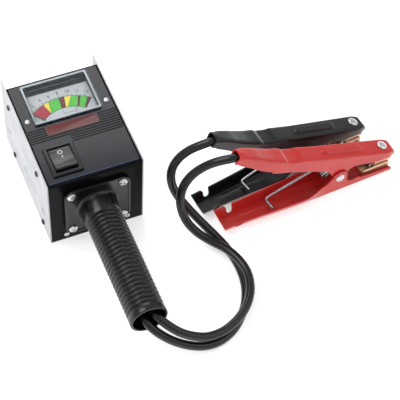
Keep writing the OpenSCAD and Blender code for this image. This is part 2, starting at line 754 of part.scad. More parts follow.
module rear_slab(x, hw, s, top, low) {
    translate([x, s * hw - (s > 0 ? clamp_t : 0), low]) cube([0.4, clamp_t, top - low]);
}

// Plan of the upper half: a narrow tail, full width in front and a chamfered nose
module upper_plan() {
    polygon([[0, -upper_tail_hw], [28, -upper_tail_hw], [46, -half_w], [nose_x - 8, -half_w],
        [nose_x + 1, -half_w + 2], [nose_x + 1, half_w - 2], [nose_x - 8, half_w], [46, half_w],
        [28, upper_tail_hw], [0, upper_tail_hw]]);
}

module clamp_upper(tint) {
    color(tint) difference() {
        union() {
            intersection() {
                plate(-half_w, half_w) web_outline();
                translate([0, 0, -10]) linear_extrude(140) upper_plan();
            }
            for (s = [-1, 1]) {
                plate(s > 0 ? half_w - clamp_t : -half_w, s > 0 ? half_w : -half_w + clamp_t)
                    upper_flange_outline();
                hull() {
                    rear_slab(24, upper_tail_hw, s, 86.8, 77.8);
                    rear_slab(44, half_w, s, 76.2, 62);
                }
            }
            // Barrel rolled round the lead
            translate([barrel_at[0], 0, barrel_at[1]]) rotate([0, 90 + barrel_deg, 0])
                translate([0, 0, -3]) cylinder(r = barrel_r, h = barrel_l);
            // Long pressed rib that stiffens the web
            translate([115, 0, 44.4]) rotate([0, 24.2, 0]) linear_extrude(2) round_rect(42, 6.4, 3.2 - e);
        }
        translate([barrel_at[0], 0, barrel_at[1]]) rotate([0, 90 + barrel_deg, 0])
            translate([0, 0, -8]) cylinder(r = barrel_in_r, h = barrel_l + 14);
        translate([pivot[0], -20, pivot[1]]) rotate([-90, 0, 0]) cylinder(r = pivot_r + pivot_play, h = 40);
        translate([nose_rivet[0], 0, nose_rivet[1]]) rotate([0, nose_tilt, 0])
            translate([0, 0, -6]) cylinder(r = rivet_r, h = 12);
    }
}

module clamp_pivot() {
    color(steel) translate([pivot[0], 0, pivot[1]]) rotate([-90, 0, 0]) {
        translate([0, 0, -ear_out - 0.1]) cylinder(r = pivot_r, h = 2 * ear_out + 0.2);
        for (s = [-1, 1]) translate([0, 0, s * (ear_out + 0.1)]) mirror([0, 0, s > 0 ? 0 : 1])
            rotate_extrude() intersection() {
                translate([0, -pivot_head_r * 1.5 + 1.6]) circle(pivot_head_r * 1.5);
                square([pivot_head_r, 1.6]);
            }
    }
}

// Stations of the spring's long leg, whose end lies across the lower half, and of its short leg
spring_hook_leg = [[45.5, 6, 6.4], [44.6, 1, 6.6], [44.8, -leg_y + 1.4, 7.4], [48, -leg_y, 9],
    [56, -leg_y, 11.8], [80, -leg_y, 20], [92, -leg_y, 23.8]];
spring_short_leg = [[104, leg_y, 24], [110, leg_y, 30], [113, leg_y, 36]];

// Torsion spring: a short coil between the halves, a short leg up, a long hooked leg back
module clamp_spring() {
    helix = [for (i = [0:coil_turns * 12]) let (a = -30 * i)
        [coil_at[0] + coil_r * cos(a), i * spring_wire_d / 12 - coil_y, coil_at[1] + coil_r * sin(a)]];
    color(steel) mirror([0, 1, 0]) tube(concat(spring_hook_leg,
        [for (p = helix) if (p[1] > 0.1 - coil_y) p], spring_short_leg), spring_r, 8);
}

module teeth_row(x0, x1, z, up) {
    n = floor((x1 - x0) / (2 * tooth));
    for (i = [0:n - 1]) translate([x0 + (i + 0.5) * 2 * tooth, z])
        polygon([[-tooth, up ? -0.4 : 0.4], [0, up ? tooth : -tooth], [tooth, up ? -0.4 : 0.4]]);
}

// Copper jaw under the nose: a folded cap with a toothed lower edge
module jaw_upper() {
    hw = half_w - clamp_t - 0.2;
    color(copper) difference() {
        union() {
            for (s = [-1, 1]) plate(s > 0 ? hw - jaw_t : -hw, s > 0 ? hw : -hw + jaw_t)
                difference() {
                    polygon([[148, 29], [148, jaw_line_z + 1.6], [164.5, jaw_line_z + 1.6], [164.5, 22.6]]);
                    teeth_row(148.5, 164.5, jaw_line_z + 1.5, true);
                }
            plate(-hw, hw) polygon([[148, 29.6], [164.5, 23.2], [164.5, 22], [148, 28.4]]);
        }
        translate([nose_rivet[0], 0, nose_rivet[1]]) rotate([0, nose_tilt, 0])
            cylinder(r = rivet_r, h = 20, center = true);
    }
}

module jaw_lower() {
    color(copper) difference() {
        union() {
            for (s = [-1, 1]) plate(s > 0 ? jaw_hw - jaw_t : -jaw_hw, s > 0 ? jaw_hw : -jaw_hw + jaw_t) {
                polygon([[138, clamp_t], [136, jaw_line_z - 2], [146, jaw_line_z - 0.4],
                    [163.5, jaw_line_z - 0.4], [163.5, clamp_t]]);
                teeth_row(147, 163.5, jaw_line_z - 0.4, true);
            }
            translate([138, -jaw_hw, clamp_t]) cube([25.5, 2 * jaw_hw, jaw_t]);
        }
        translate([jaw_rivet_x, 0, 0]) cylinder(r = rivet_r, h = 6);
    }
}

module nose_rivet_piece() {
    color(steel) translate([nose_rivet[0], 0, nose_rivet[1]]) rotate([0, nose_tilt, 0]) {
        translate([0, 0, -5]) cylinder(r = rivet_r, h = 5);
        rotate_extrude() intersection() {
            translate([0, -6]) circle(8);
            square([4.6, 3]);
        }
    }
}

module jaw_rivet() {
    color(steel) translate([jaw_rivet_x, 0, clamp_t]) {
        translate([0, 0, -0.9]) cylinder(r = rivet_r, h = jaw_t + 1);
        translate([0, 0, jaw_t]) cylinder(r = 3.6, h = 1.2);
    }
}

// Flexible braid that bridges the two jaws behind the teeth
module jumper() {
    color(braid) tube([[151, 0, 26.5], [146, 0, 25.5], [142.5, 0, 20], [141.5, 0, 14], [143, 0, 8.5],
        [146, 0, 5.5]], braid_r, 8);
}

module red_clamp_upper() { at_red() clamp_upper(clamp_red); }
module red_clamp_lower() { at_red() clamp_lower(clamp_red); }
module red_clamp_pivot() { at_red() clamp_pivot(); }
module red_clamp_spring() { at_red() clamp_spring(); }
module red_jaw_upper() { at_red() jaw_upper(); }
module red_jaw_lower() { at_red() jaw_lower(); }
module red_nose_rivet() { at_red() nose_rivet_piece(); }
module red_jaw_rivet() { at_red() jaw_rivet(); }
module red_jumper() { at_red() jumper(); }
module black_clamp_upper() { at_black() clamp_upper(clamp_black); }
module black_clamp_lower() { at_black() clamp_lower(clamp_black); }
module black_clamp_pivot() { at_black() clamp_pivot(); }
module black_clamp_spring() { at_black() clamp_spring(); }
module black_jaw_upper() { at_black() jaw_upper(); }
module black_jaw_lower() { at_black() jaw_lower(); }
module black_nose_rivet() { at_black() nose_rivet_piece(); }
module black_jaw_rivet() { at_black() jaw_rivet(); }
module black_jumper() { at_black() jumper(); }

front_chassis();
rear_cover();
cover_screws();
face_overlay();
red_label();
meter_case();
meter_lens();
meter_dial();
meter_magnet();
meter_core();
meter_bridge();
meter_coil();
meter_needle();
meter_screws();
meter_terminals();
switch_frame();
switch_rocker();
switch_terminals();
handle_grip();
handle_screws();
panel_screws();
load_ribbon();
load_insulators();
load_bolts();
inner_lead_red();
inner_lead_black();
lead_lugs();
switch_link();
meter_wires();
lead_red();
lead_black();
red_clamp_upper();
red_clamp_lower();
red_clamp_pivot();
red_clamp_spring();
red_jaw_upper();
red_jaw_lower();
red_nose_rivet();
red_jaw_rivet();
red_jumper();
black_clamp_upper();
black_clamp_lower();
black_clamp_pivot();
black_clamp_spring();
black_jaw_upper();
black_jaw_lower();
black_nose_rivet();
black_jaw_rivet();
black_jumper();
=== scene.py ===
"""Hand-held battery load tester with two clamp leads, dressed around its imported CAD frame."""

import logging
import math
from dataclasses import dataclass, field
from enum import Enum
from typing import Any, Callable, Iterable, Sequence

import bmesh
import bpy
from mathutils import Matrix, Vector


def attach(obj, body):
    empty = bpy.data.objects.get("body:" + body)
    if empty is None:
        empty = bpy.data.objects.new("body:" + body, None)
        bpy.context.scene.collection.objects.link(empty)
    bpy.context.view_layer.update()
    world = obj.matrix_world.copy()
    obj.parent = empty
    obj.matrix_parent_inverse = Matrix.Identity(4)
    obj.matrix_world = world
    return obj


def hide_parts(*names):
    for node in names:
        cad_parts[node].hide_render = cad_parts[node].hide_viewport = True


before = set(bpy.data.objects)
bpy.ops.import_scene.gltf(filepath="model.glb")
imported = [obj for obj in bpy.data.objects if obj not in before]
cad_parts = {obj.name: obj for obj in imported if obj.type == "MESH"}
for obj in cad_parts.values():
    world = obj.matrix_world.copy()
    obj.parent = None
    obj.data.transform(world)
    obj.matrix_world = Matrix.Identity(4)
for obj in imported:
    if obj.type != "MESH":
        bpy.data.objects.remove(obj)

LOG = logging.getLogger("tester")
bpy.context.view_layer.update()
MM = 0.001
ROUND = math.tau
Point = tuple[float, float, float]
Piece = bpy.types.Object


class Body(Enum):
    """Names of the bodies that pieces ride on."""

    ROOT = "root"
    ROCKER = "rocker"
    MOVEMENT = "movement"
    RED_JAW = "red_jaw"
    BLACK_JAW = "black_jaw"


class Side(Enum):
    """The two clamps, by the colour of their paint."""

    RED = "red"
    BLACK = "black"


# ---- Shader maths ----


def ink(red: int, green: int, blue: int) -> tuple[float, float, float, float]:
    """Return a display colour, 0 to 255 a channel, as linear RGBA."""

    def linear(value: int) -> float:
        """Return one channel in linear light."""
        c = value / 255
        return c / 12.92 if c <= 0.04045 else ((c + 0.055) / 1.055) ** 2.4

    return (linear(red), linear(green), linear(blue), 1.0)


class Signal:
    """A shader socket that takes part in arithmetic."""

    def __init__(self, shop: "Shader", socket: bpy.types.NodeSocket) -> None:
        """Wrap a socket of the given shader."""
        self.shop = shop
        self.socket = socket

    def _math(self, operation: str, *values: "Signal | float") -> "Signal":
        """Return the result of one Math node.

        Args:
            operation: the Math node's operation.
            values: its inputs, in order.

        Returns:
            The node's output.
        """
        return self.shop.node("ShaderNodeMath", {"operation": operation}, dict(enumerate(values)))

    def __add__(self, other: "Signal | float") -> "Signal":
        """Return the sum."""
        return self._math("ADD", self, other)

    def __radd__(self, other: float) -> "Signal":
        """Return the sum, reflected."""
        return self._math("ADD", other, self)

    def __sub__(self, other: "Signal | float") -> "Signal":
        """Return the difference."""
        return self._math("SUBTRACT", self, other)

    def __mul__(self, other: "Signal | float") -> "Signal":
        """Return the product."""
        return self._math("MULTIPLY", self, other)


class Shader:
    """One material and the nodes that feed its Principled shader."""

    def __init__(self, name: str) -> None:
        """Start a material of that name."""
        self.material = bpy.data.materials.new(name)
        self.material.use_nodes = True
        self.tree = self.material.node_tree
        self.surface = self.tree.nodes["Principled BSDF"]

    def node(self, kind: str, settings: dict[str, Any] | None = None,
             inputs: dict[str | int, Any] | None = None, output: str | int = 0) -> Signal:
        """Add a node.

        Args:
            kind: the node's type.
            settings: its own settings.
            inputs: values or signals for its sockets, by name or number.
            output: the socket to return, by name or number.

        Returns:
            The chosen output.
        """
        made = self.tree.nodes.new(kind)
        for key, value in (settings or {}).items():
            setattr(made, key, value)
        self.feed(made, inputs or {})
        return Signal(self, made.outputs[output])

    def feed(self, made: bpy.types.Node, inputs: dict[str | int, Any]) -> None:
        """Set or link a node's sockets from a dict of values and signals."""
        for key, value in inputs.items():
            if isinstance(value, Signal):
                self.tree.links.new(value.socket, made.inputs[key])
            else:
                made.inputs[key].default_value = value

    def place(self) -> Signal:
        """Return the position on the object, in metres."""
        return self.node("ShaderNodeTexCoord", output="Object")

    def noise(self, scale: float, detail: float = 3.0, stretch: Point = (1, 1, 1)) -> Signal:
        """Return smooth noise.

        Args:
            scale: how many features a metre holds.
            detail: octaves of finer noise.
            stretch: how much each axis is squeezed, for brushed grain.

        Returns:
            A value near 0.5.
        """
        where = self.node("ShaderNodeMapping", inputs={"Vector": self.place(), "Scale": stretch})
        return self.node("ShaderNodeTexNoise", inputs={"Vector": where, "Scale": scale, "Detail": detail})

    def blend(self, amount: Signal, low: Sequence[float], high: Sequence[float]) -> Signal:
        """Return a colour between low and high, by amount."""
        return self.node("ShaderNodeMix", {"data_type": "RGBA"}, {0: amount, 6: low, 7: high}, 2)

    def bump(self, height: Signal, strength: float, depth: float) -> Signal:
        """Return a normal raised by height, at a strength and a depth in metres."""
        sockets = {"Height": height, "Strength": strength, "Distance": depth}
        return self.node("ShaderNodeBump", inputs=sockets)

    def finish(self, **inputs: Any) -> bpy.types.Material:
        """Set the shader's own sockets, spaces written as underscores, and return the material."""
        self.feed(self.surface, {key.replace("_", " "): value for key, value in inputs.items()})
        return self.material


# ---- Finishes ----

MADE: dict[str, bpy.types.Material] = {}


@dataclass(frozen=True)
class Finish:
    """A surface finish: a colour that drifts a little, a roughness and a grain."""

    name: str
    slot: str
    colour: tuple[int, int, int]
    drift: tuple[int, int, int]
    roughness: float = 0.4
    unevenness: float = 0.12
    grain: float = 900.0
    depth: float = 0.00003
    metal: float = 0.0
    coat: float = 0.0
    stretch: Point = (1, 1, 1)
    specular: float = 0.5

    def material(self) -> bpy.types.Material:
        """Return the finish's material, made the first time it is asked for."""
        if self.name not in MADE:
            MADE[self.name] = self.make()
        return MADE[self.name]

    def make(self) -> bpy.types.Material:
        """Build the material."""
        shader = Shader(self.name)
        cloud = shader.noise(45.0, 4.0)
        fine = shader.noise(self.grain, 2.0, self.stretch)
        mask = shader.node("ShaderNodeMapRange", inputs={"Value": cloud, 1: 0.35, 2: 0.68})
        return shader.finish(
            Base_Color=shader.blend(mask, ink(*self.colour), ink(*self.drift)),
            Roughness=self.roughness + (fine - 0.5) * self.unevenness * 1.2
            + (cloud - 0.5) * self.unevenness,
            Metallic=self.metal,
            Coat_Weight=self.coat,
            Coat_Roughness=0.06,
            Specular_IOR_Level=self.specular,
            Normal=shader.bump(fine, 0.35, self.depth),
        )


@dataclass(frozen=True)
class ClearFinish(Finish):
    """Clear moulded polystyrene that lets the dial show through."""

    opacity: float = 0.14

    def make(self) -> bpy.types.Material:
        """Build the material: low opacity, higher at grazing angles and over faint scuffs."""
        shader = Shader(self.name)
        scuff = shader.noise(self.grain, 5.0, (1, 6, 1))
        rim = shader.node("ShaderNodeLayerWeight", inputs={"Blend": 0.25}, output="Facing")
        return shader.finish(
            Base_Color=ink(*self.colour),
            Roughness=self.roughness + scuff * self.unevenness,
            Alpha=self.opacity + rim * 0.06 + (scuff - 0.5) * 0.02,
            Coat_Weight=self.coat,
            Normal=shader.bump(shader.noise(120.0), 0.1, self.depth),
        )


@dataclass(frozen=True)
class PaintedSteel(Finish):
    """Stoved paint on pressed steel, rubbed lighter where dust and handling reach it."""

    fleck: tuple[int, int, int] = (120, 120, 120)

    def make(self) -> bpy.types.Material:
        """Build the material with orange peel, soft scuffs and a few flecks."""
        shader = Shader(self.name)
        cloud = shader.noise(38.0, 5.0)
        peel = shader.noise(self.grain, 1.0)
        scuff = shader.noise(230.0, 6.0, (1.0, 4.0, 1.0))
        worn = shader.node("ShaderNodeMapRange", inputs={"Value": scuff, 1: 0.66, 2: 0.82})
        mask = shader.node("ShaderNodeMapRange", inputs={"Value": cloud, 1: 0.32, 2: 0.7})
        paint = shader.blend(mask, ink(*self.colour), ink(*self.drift))
        return shader.finish(
            Base_Color=shader.node("ShaderNodeMix", {"data_type": "RGBA"},
                                   {0: worn * 0.35, 6: paint, 7: ink(*self.fleck)}, 2),
            Roughness=self.roughness + worn * 0.12 + (cloud - 0.5) * self.unevenness,
            Coat_Weight=self.coat,
            Coat_Roughness=0.08,
            Specular_IOR_Level=self.specular,
            Normal=shader.bump(peel, 0.3, self.depth),
        )


@dataclass(frozen=True)
class DialCard(Finish):
    """Printed dial card with the fine weave of its clear lacquer."""

    def make(self) -> bpy.types.Material:
        """Build the material with slanting hairlines over a mottled card."""
        shader = Shader(self.name)
        where = shader.node("ShaderNodeMapping", inputs={"Vector": shader.place(), "Rotation": (0, 0, 0.6)})
        lines = shader.node("ShaderNodeTexWave", {"wave_type": "BANDS"},
                            {"Vector": where, "Scale": 330.0, "Distortion": 0.6, "Detail": 1.0})
        cloud = shader.noise(60.0, 3.0)
        tone = lines * 0.55 + cloud * 0.45
        return shader.finish(
            Base_Color=shader.blend(tone, ink(*self.colour), ink(*self.drift)),
            Roughness=self.roughness + (cloud - 0.5) * self.unevenness,
            Normal=shader.bump(lines, 0.15, self.depth),
        )


class Finishes:
    """Every finish on the tester, by the part that wears it."""

    CHASSIS = PaintedSteel("chassis_enamel", "chassis_paint", (5, 5, 7), (9, 9, 12), 0.32, 0.10, 1400,
                           0.00003, coat=0.0, specular=0.08, fleck=(30, 32, 38))
    FILM = PaintedSteel("face_film", "chassis_paint", (10, 12, 20), (18, 22, 34), 0.20, 0.10, 900,
                        0.00001, coat=0.3, specular=0.35, fleck=(52, 58, 76))
    PLATED = Finish("plated_cover", "cover_plating", (184, 186, 190), (170, 173, 178), 0.34, 0.12, 1500,
                    0.00001, 0.55, 0.0, (1, 12, 1))
    BRIGHT = Finish("nickel_screw", "bright_screws", (240, 240, 238), (196, 196, 198), 0.26, 0.12, 2500,
                    0.00001, 1.0)
    # Blue colour of the strip along the film's near edge: a painted highlight of the light caught on its
    # bend.
    FILM_EDGE = Finish("film_edge_painted_highlight", "chassis_paint", (20, 56, 118), (26, 66, 132), 0.3, 0.1, 900)
    DARK = Finish("dark_screw", "bright_screws", (92, 92, 94), (52, 52, 56), 0.3, 0.14, 2500,
                  0.00001, metal=0.8)
    STRIPE = Finish("stripe_ink", "stripe_ink", (5, 5, 7), (10, 10, 13), 0.36, 0.1, 2200, specular=0.3)
    LABEL = PaintedSteel("label_red", "label_red", (108, 34, 32), (84, 26, 28), 0.34, 0.1, 2400,
                         0.00001, coat=0.3, fleck=(146, 74, 68))
    CASE = Finish("meter_case_plastic", "black_plastic", (12, 14, 18), (28, 34, 40), 0.2, 0.1, 1800)
    RIM = Finish("silvered_rim", "clear_lens", (176, 184, 190), (140, 150, 158), 0.26, 0.12, 1500,
                 0.00001, 0.55, 0.4)
    LENS = ClearFinish("clear_cover", "clear_lens", (206, 214, 220), (206, 214, 220), 0.05, 0.05, 260,
                       0.00001, coat=1.0, opacity=0.02)
    CARD = DialCard("dial_card", "dial_enamel", (160, 168, 175), (218, 224, 228), 0.45, 0.1)
    SCALE_RED = Finish("scale_red", "dial_enamel", (178, 10, 44), (158, 8, 36), 0.45)
    SCALE_YELLOW = Finish("scale_yellow", "dial_enamel", (244, 226, 78), (232, 208, 60), 0.45)
    SCALE_GREEN = Finish("scale_green", "dial_enamel", (76, 196, 58), (60, 178, 48), 0.45)
    SCALE_BROWN = Finish("scale_dark_red", "dial_enamel", (96, 20, 22), (78, 14, 18), 0.45)
    # Dark ink for the scale's print; the same colour also makes the band of painted shade across the card's
    # top.
    SCALE_INK = Finish("scale_ink_and_painted_shade", "dial_enamel", (18, 20, 26), (30, 32, 40), 0.45)
    NEEDLE = Finish("needle_lacquer", "needle_black", (14, 14, 16), (24, 24, 28), 0.30, 0.1)
    SWITCH = Finish("switch_bezel_plastic", "switch_plastic", (20, 20, 22), (28, 28, 31), 0.30, 0.12, 3200,
                    0.00002)
    ROCKER = Finish("rocker_gloss", "rocker_plastic", (7, 7, 8), (12, 12, 13), 0.34, 0.08, 2600,
                    0.00001, coat=0.5)
    MARK = Finish("mark_white", "rocker_plastic", (236, 236, 232), (214, 214, 210), 0.4)
    GRIP = Finish("grip_moulding", "grip_plastic", (6, 6, 7), (12, 12, 13), 0.24, 0.12, 1600, 0.00002)
    RIBBON = Finish("resistance_ribbon", "resistance_alloy", (138, 124, 108), (110, 96, 84), 0.45, 0.2, 1500,
                    metal=0.9)
    CERAMIC = Finish("ceramic_bar", "ceramic", (224, 216, 196), (206, 196, 172), 0.7, 0.1, 1200)
    RUBBER = Finish("lead_rubber", "lead_rubber", (8, 8, 10), (15, 15, 17), 0.26, 0.12, 1500, 0.00002)
    WIRE = Finish("thin_wire_sleeve", "thin_wire", (150, 30, 30), (130, 22, 24), 0.45)
    COPPER = Finish("copper_jaw", "copper", (238, 202, 172), (214, 162, 126), 0.34, 0.2, 1800, 0.00002, 0.8)
    BRASS = Finish("brass_stud", "brass", (214, 178, 96), (186, 146, 70), 0.3, 0.2, 1600, metal=1.0)
    WINDING = Finish("coil_winding", "copper_wire", (186, 96, 48), (150, 70, 34), 0.35, 0.2, 2600,
                     0.00006, 0.7, 0.0, (1, 1, 14))
    MAGNET = Finish("magnet_iron", "magnet_iron", (96, 96, 102), (74, 74, 80), 0.5, 0.2, 900, metal=0.8)
    IRON = Finish("soft_iron", "soft_iron", (172, 172, 176), (140, 140, 146), 0.4, 0.2, 1400, metal=0.95)
    RIVET = Finish("rivet_steel", "bright_rivets", (222, 222, 220), (204, 206, 208), 0.22, 0.10, 2200,
                   0.00001, 0.95)
    SPRING = Finish("spring_wire", "spring_steel", (186, 186, 190), (160, 160, 164), 0.25, 0.12, 2600,
                    0.00001, 1.0)
    BRAID = Finish("copper_braid", "braid", (150, 96, 66), (92, 58, 42), 0.5, 0.2, 1500, 0.0002, 0.7,
                   0.0, (1, 1, 3))
    CLAMP = {
        Side.RED: PaintedSteel("clamp_paint_red", "clamp_paint_red",
                               (204, 44, 38), (190, 36, 34), 0.34, 0.14,
                               1100, 0.00003, coat=0.25, specular=0.35, fleck=(214, 62, 56)),
        Side.BLACK: PaintedSteel("clamp_paint_black", "clamp_paint_black", (8, 9, 11), (15, 16, 19), 0.30,
                                 0.14, 1100, 0.00003, coat=0.2, specular=0.35, fleck=(46, 49, 54)),
    }


NODE_FINISHES: dict[str, Finish] = {
    "front_chassis": Finishes.CHASSIS, "rear_cover": Finishes.PLATED, "meter_case": Finishes.CASE,
    "meter_magnet": Finishes.MAGNET, "meter_core": Finishes.IRON, "meter_bridge": Finishes.BRASS,
    "meter_coil": Finishes.WINDING, "meter_terminals": Finishes.BRASS,
    "switch_terminals": Finishes.BRASS, "load_ribbon": Finishes.RIBBON,
    "load_insulators": Finishes.CERAMIC, "load_bolts": Finishes.BRASS, "lead_lugs": Finishes.COPPER,
    "switch_link": Finishes.COPPER, "meter_wires": Finishes.WIRE,
}


# ---- Workbench ----


class Bench:
    """Makes and shapes one piece at a time with Blender's own tools; sizes are in millimetres."""

    @staticmethod
    def clear() -> None:
        """Leave edit mode and deselect everything."""
        if bpy.context.object and bpy.context.object.mode != "OBJECT":
            bpy.ops.object.mode_set(mode="OBJECT")
        bpy.ops.object.select_all(action="DESELECT")

    @staticmethod
    def hold(piece: Piece) -> Piece:
        """Make the piece the only one selected, and active."""
        Bench.clear()
        piece.select_set(True)
        bpy.context.view_layer.objects.active = piece
        return piece

    @staticmethod
    def edit(piece: Piece, select: bool = True) -> None:
        """Open the piece in edit mode with all or nothing selected."""
        Bench.hold(piece)
        bpy.ops.object.mode_set(mode="EDIT")
        bpy.ops.mesh.select_all(action="SELECT" if select else "DESELECT")

    @staticmethod
    def done() -> None:
        """Close edit mode."""
        bpy.ops.object.mode_set(mode="OBJECT")

    @staticmethod
    def pick(piece: Piece, test: Callable[[Any], bool], kind: str = "faces") -> None:
        """Select the faces or edges of a piece in edit mode that pass a test.

        Args:
            piece: the piece being edited.
            test: says whether an element is wanted.
            kind: "faces" or "edges".
        """
        bpy.ops.mesh.select_mode(type={"faces": "FACE", "edges": "EDGE"}[kind])
        bpy.ops.mesh.select_all(action="DESELECT")
        shape = bmesh.from_edit_mesh(piece.data)
        for element in getattr(shape, kind):
            if test(element):
                element.select_set(True)
        shape.select_flush(False)
        bmesh.update_edit_mesh(piece.data)

    @staticmethod
    def placed(name: str, points: Sequence[Point]) -> Piece:
        """Name the active piece, and place its vertices in order."""
        piece = bpy.context.object
        piece.name = name
        for vertex, point in zip(piece.data.vertices, points, strict=True):
            vertex.co = Vector(point) * MM
        return piece

    @staticmethod
    def outline(name: str, points: Sequence[Point]) -> Piece:
        """Return a closed ring of edges through the points, from a circle whose vertices are placed."""
        Bench.clear()
        bpy.ops.mesh.primitive_circle_add(vertices=len(points), radius=1.0, fill_type="NOTHING")
        return Bench.placed(name, points)

    @staticmethod
    def plate(name: str, points: Sequence[Point], along: Point) -> Piece:
        """Return a solid plate.

        Args:
            name: the piece's name.
            points: its flat outline.
            along: how far and which way the outline is extruded.

        Returns:
            The plate.
        """
        piece = Bench.outline(name, points)
        Bench.edit(piece)
        bpy.ops.mesh.edge_face_add()
        bpy.ops.mesh.extrude_region_move(TRANSFORM_OT_translate={"value": Vector(along) * MM})
        bpy.ops.mesh.select_all(action="SELECT")
        bpy.ops.mesh.normals_make_consistent(inside=False)
        Bench.done()
        return piece

    @staticmethod
    def spun(name: str, profile: Sequence[tuple[float, float]], steps: int = 48,
             closed: bool = False) -> Piece:
        """Return a solid of revolution about +Z.

        Args:
            name: the piece's name.
            profile: radius and height of each point; an open one starts and ends on the axis.
            steps: how many segments go round.
            closed: whether the profile is a closed loop clear of the axis.

        Returns:
            The turned piece, standing on the origin.
        """
        piece = Bench.outline(name, [(r, 0.0, z) for r, z in profile])
        Bench.edit(piece, False)
        if not closed:
            last = len(profile) - 1
            Bench.pick(piece, lambda edge: {v.index for v in edge.verts} == {0, last}, "edges")
            bpy.ops.mesh.delete(type="EDGE")
        bpy.ops.mesh.select_mode(type="VERT")
        bpy.ops.mesh.select_all(action="SELECT")
        bpy.ops.mesh.spin(steps=steps, angle=ROUND, center=(0, 0, 0), axis=(0, 0, 1))
        bpy.ops.mesh.select_all(action="SELECT")
        bpy.ops.mesh.remove_doubles(threshold=0.00001)
        bpy.ops.mesh.normals_make_consistent(inside=False)
        Bench.done()
        return piece

    @staticmethod
    def loft(name: str, rows: Sequence[Sequence[Vector]]) -> Piece:
        """Return a sheet through rows of points, from a grid whose vertices are placed."""
        Bench.clear()
        bpy.ops.mesh.primitive_grid_add(x_subdivisions=len(rows[0]) - 1,
                                        y_subdivisions=len(rows) - 1, size=1.0)
        return Bench.placed(name, [point for row in rows for point in row])

    @staticmethod
    def modify(piece: Piece, kind: str, **settings: Any) -> Piece:
        """Add a modifier with those settings and apply it."""
        Bench.hold(piece)
        bpy.ops.object.modifier_add(type=kind)
        modifier = piece.modifiers[-1]
        for key, value in settings.items():
            setattr(modifier, key, value)
        bpy.ops.object.modifier_apply(modifier=modifier.name)
        return piece

    @staticmethod
    def bevel(piece: Piece, width: float, segments: int = 2, degrees: float = 32.0) -> Piece:
        """Round the piece's edges that are sharper than an angle."""
        return Bench.modify(piece, "BEVEL", width=width * MM, segments=segments, limit_method="ANGLE",
                            angle_limit=math.radians(degrees), use_clamp_overlap=True,
                            harden_normals=False)

    @staticmethod
    def cut(piece: Piece, cutter: Piece) -> Piece:
        """Take the cutter's shape out of the piece, and remove the cutter."""
        Bench.modify(piece, "BOOLEAN", operation="DIFFERENCE", object=cutter, solver="EXACT")
        bpy.data.objects.remove(cutter)
        return piece

    @staticmethod
    def move(piece: Piece, matrix: Matrix) -> Piece:
        """Place the piece by a matrix in metres, and apply it to its mesh."""
        Bench.hold(piece)
        piece.matrix_world = matrix
        bpy.ops.object.transform_apply(location=True, rotation=True, scale=True)
        return piece

    @staticmethod
    def copy(piece: Piece, name: str, matrix: Matrix) -> Piece:
        """Return a placed copy of the piece with its own mesh."""
        twin = bpy.data.objects.new(name, piece.data.copy())
        bpy.context.collection.objects.link(twin)
        return Bench.move(twin, matrix)

    @staticmethod
    def join(name: str, pieces: Sequence[Piece]) -> Piece:
        """Return one piece made of several."""
        Bench.hold(pieces[0])
        for piece in pieces[1:]:
            piece.select_set(True)
        if len(pieces) > 1:
            bpy.ops.object.join()
        pieces[0].name = name
        return pieces[0]

    @staticmethod
    def smooth(piece: Piece, degrees: float = 35.0) -> Piece:
        """Shade the piece smooth, apart from edges sharper than an angle."""
        Bench.hold(piece)
        bpy.ops.object.shade_smooth_by_angle(angle=math.radians(degrees))
        return piece

    @staticmethod
    def turned(name: str, profile: Sequence[tuple[float, float]], steps: int, at: Matrix,
               closed: bool = False) -> Piece:
        """Return a smooth solid of revolution set in place, its profile as for spun()."""
        return Bench.smooth(Bench.move(Bench.spun(name, profile, steps, closed), at), 40.0)

    @staticmethod
    def wire(name: str, path: Sequence[Point], radius: float, sides: int = 4) -> Piece:
        """Return a curve of one open spline with a round section.

        Args:
            name: the piece's name.
            path: the points of its centreline.
            radius: the section's radius.
            sides: the section's bevel resolution.

        Returns:
            The curve object.
        """
        curve = bpy.data.curves.new(name, "CURVE")
        curve.dimensions = "3D"
        spline = curve.splines.new("POLY")
        spline.points.add(len(path) - 1)
        for place, point in zip(spline.points, path):
            place.co = (*(Vector(point) * MM), 1.0)
        spline.use_smooth = True
        curve.bevel_depth = radius * MM
        curve.bevel_resolution = sides
        curve.use_fill_caps = True
        piece = bpy.data.objects.new(name, curve)
        bpy.context.collection.objects.link(piece)
        return piece

    @staticmethod
    def rod(name: str, path: Sequence[Point], radius: float, sides: int = 3) -> Piece:
        """Return a bent round rod as a mesh."""
        Bench.hold(Bench.wire(name, path, radius, sides))
        bpy.ops.object.convert(target="MESH")
        return Bench.smooth(bpy.context.object, 50.0)

    @staticmethod
    def letters(name: str, words: str, size: float, matrix: Matrix, thick: float) -> Piece:
        """Return raised figures as a mesh.

        Args:
            name: the piece's name.
            words: the figures.
            size: their height.
            matrix: where they stand, in metres.
            thick: how far they are raised.

        Returns:
            The placed mesh.
        """
        Bench.clear()
        bpy.ops.object.text_add()
        piece = bpy.context.object
        piece.name = name
        piece.data.body = words
        piece.data.size = size * MM
        piece.data.extrude = thick * MM / 2
        piece.data.align_x = "CENTER"
        piece.data.align_y = "CENTER"
        piece.data.resolution_u = 3
        bpy.ops.object.convert(target="MESH")
        return Bench.move(bpy.context.object, matrix)


def oblong(x0: float, x1: float, y0: float, y1: float, z: float) -> list[Point]:
    """Return the corners of a level rectangle at height z."""
    return [(x0, y0, z), (x1, y0, z), (x1, y1, z), (x0, y1, z)]


